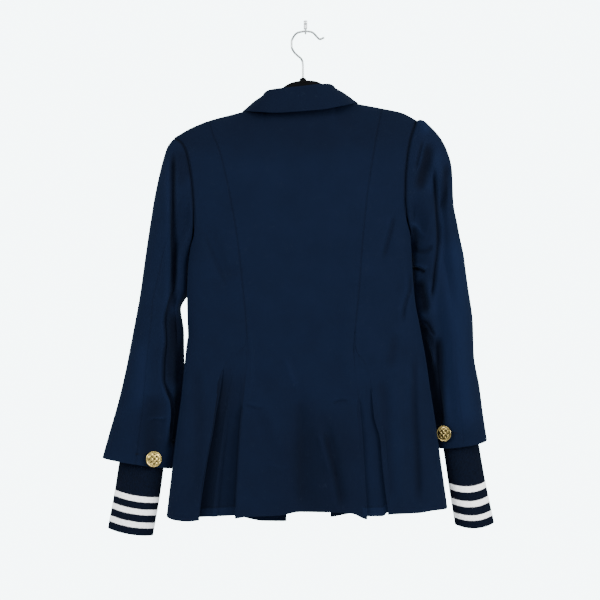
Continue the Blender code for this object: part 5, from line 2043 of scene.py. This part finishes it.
RIGHT_SLEEVE = dict(
    seam_shows=((0, 0.08), (1, 0.25)),
    sections=(
        (179.5, 156, 168.3, 343, -27, -43, 19, 17), (191.8, 159.8, 168.5, 348, -30, -40, 22, 16),
        (204.3, 169.8, 168.8, 355, -33, -36, 24, 14), (217.6, 186.2, 169.3, 364, -36, -32, 26, 12),
        (227.8, 207, 169.9, 376, -38, -29, 28, 9), (234.2, 231.5, 170.3, 390, -40, -27, 29, 7),
        (237.2, 290, 171, 415, -41, -25, 30, 3), (243.8, 325, 172, 436, -42, -24, 30, 1),
        (251.8, 370, 175.5, 462, -42, -24, 30, 0), (260.8, 426.6, 181, 492, -42, -23, 30, 0),
        (268.6, 482, 187.5, 528, -41, -23, 29, -1), (270.4, 534, 193.5, 568, -40, -23, 28, -2),
        (279, 583, 199.5, 610, -39, -23, 27, -3), (285.6, 631, 205, 648, -37, -23, 26, -3),
        (291.8, 670, 210, 682, -36, -24, 25, -4),
    ),
    long_creases=(
        (72, 0.12, 0.75, 14, -9), (38, 0.1, 0.42, 12, -5), (118, 0.1, 0.35, 18, -7), (100, 0.5, 0.95, 16, -8),
    ),
    creases=(
        Crease(((189, 186), (184, 203), (180, 219), (175, 241)), 2.5, -2.2, 0.5),
        Crease(((199, 190), (195, 216), (189, 242), (179, 276)), 8, -6.0, 0.3),
        Crease(((205.5, 230), (207, 270), (210.5, 310), (212.5, 342), (211, 366), (207.5, 390), (204.5, 422),
                (200, 454)), 3.0, -4.5, 0.3, 0.12),
        Crease(((226, 222), (224, 254), (221, 283), (216, 310)), 5, -3.5, 0.3),
        Crease(((165, 395), (178, 396), (191, 402)), 2.8, -6.5, 0.3, 0.12),
        Crease(((181, 411), (184, 433), (189, 454), (186, 471)), 8, -8.0, 0.2),
        Crease(((183, 479), (192, 483), (200, 494), (208, 505)), 2.4, -3.2, -0.6),
        Crease(((189, 494), (196, 518), (204, 542), (200, 561)), 4, 3.4),
        Crease(((165, 321), (178, 328), (191, 347)), 3, 2.2),
        Crease(((170, 366), (189, 369), (205, 358)), 4, -2.4),
        Crease(((212, 500), (215, 542), (215, 582), (215, 622), (216, 660)), 6, -7.5, 0.2, 0.15),
        Crease(((186, 470), (194, 520), (201, 570), (206, 620), (210, 660)), 11, -7, 0, 0.15),
        Crease(((242, 330), (236, 420), (236, 480), (246, 600), (260, 668)), 20, 5.2, 0, 0.15),
        Crease(((181, 146), (188, 162), (195, 184)), 8, 4.5, 0, 0.3),
        Crease(((170, 326), (176, 350), (173, 374)), 5, -3.6),
    ),
)
LEFT_CUFF = (
    (-293, 676, -226, 686, -30, 17), (-300.3, 709, -229.3, 720, -29, 16),
    (-307.3, 753, -235.2, 763, -27, 16), (-318.6, 813, -246.2, 825, -25, 15),
)
RIGHT_CUFF = (
    (273.5, 646, 216, 656, -30, 17), (279, 678, 222.5, 688, -29, 16),
    (289.5, 737, 231, 744, -27, 16), (304, 804.5, 241.4, 807.5, -25, 15),
)


@dataclass
class Blazer:
    """The whole garment on its hanger."""

    wardrobe: Wardrobe
    form: BodyForm = field(default_factory=BodyForm)
    cuff_buttons: dict = by_side((0.979, 111.2), (0.952, 123.0))
    cuff_holes: dict = by_side(((-271, 690.5), (-256, 692)), ((229, 659), (241, 659)))
    front_drops: dict = field(default_factory=lambda: {"upper": 448.0, "lower": 548.0})
    front_button_in: float = 17.0
    front_hole: tuple[float, float] = (13.0, 37.0)
    # The right cuff button's gold is a darker copy of the same gold: painted shade for a button turned from
    # the light
    lit_and_shaded_golds: dict = by_side(AgedGold(), AgedGold("gold in painted shade", (0.26, 0.195, 0.070, 1.0)))

    def build(self) -> None:
        """Builds everything, from what holds to what is held."""
        WallHook(self.wardrobe).build()
        Hanger(self.form, self.wardrobe).build()
        Back(self.form, self.wardrobe, "hanger_arms").build()
        fronts = Fronts(self.form, self.wardrobe, "hanger_arms")
        fronts.build()
        stretched = StripedKnit("right striped knit", bands=(0.0124, 0.0208, 0.0347, 0.0443, 0.0588, 0.0684))
        for side, sizes, rings, sag, knit in (
            (Side.LEFT, LEFT_SLEEVE, LEFT_CUFF, 3.0, StripedKnit()),
            (Side.RIGHT, RIGHT_SLEEVE, RIGHT_CUFF, 6.3, stretched),
        ):
            sleeve = Sleeve(side, self.form, self.wardrobe, **sizes)
            sleeve.build()
            Cuff(sleeve, self.wardrobe, rings, sag, knit).build()
            self.build_cuff_button(sleeve)
        self.build_front_buttons(fronts)
        Collar(self.wardrobe).build()

    def build_cuff_button(self, sleeve: Sleeve) -> None:
        """The sleeve end's button and its worked buttonhole.

        Args:
            sleeve: The sleeve, once it is built.
        """
        side = sleeve.side
        way, degrees = self.cuff_buttons[side]
        near = np.array([-1.0, 0, 1.0])
        angles = np.radians(np.tile(degrees + 8 * near, (3, 1)))
        points, normals, _ = sleeve.creased(way + 0.02 * near, angles)
        names = f"sleeve_button_{side.word}", f"cuff_button_{side.word}"
        Button(*names, points[1, 1], normals[1, 1], self.wardrobe, self.lit_and_shaded_golds[side]).build()
        start, end = (sleeve.face(*spot) for spot in self.cuff_holes[side])
        normal = unit(start[1] + end[1])
        Buttonhole(f"sleeve_buttonhole_{side.word}", start[0], end[0], normal, self.wardrobe).build()

    def build_front_buttons(self, fronts: Fronts) -> None:
        """Two buttons on the left front and a buttonhole for each on the right one.

        Args:
            fronts: The fronts, whose face they lie on.
        """
        for name, drop in self.front_drops.items():
            across = float(self.form.openings[Side.LEFT](drop)) - self.front_button_in
            place = np.array([across, float(fronts.face(across, drop)), -drop])
            Button(f"front_gold_{name}", f"front_button_{name}", place, TO_WALL, self.wardrobe).build()
            edge = float(self.form.openings[Side.RIGHT](drop))
            ends = [np.array([edge + k, float(fronts.face(edge + k, drop)), -drop]) for k in self.front_hole]
            Buttonhole(f"front_buttonhole_{name}", *ends, TO_WALL, self.wardrobe).build()


def main() -> None:
    """Loads the frame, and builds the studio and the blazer."""
    logging.basicConfig(level=logging.INFO, format="%(name)s: %(message)s")
    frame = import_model()
    log.info("frame with %d nodes", len(frame["nodes"]))
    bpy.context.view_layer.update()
    Studio().build()
    Blazer(Wardrobe()).build()


if __name__ == "__main__":
    main()
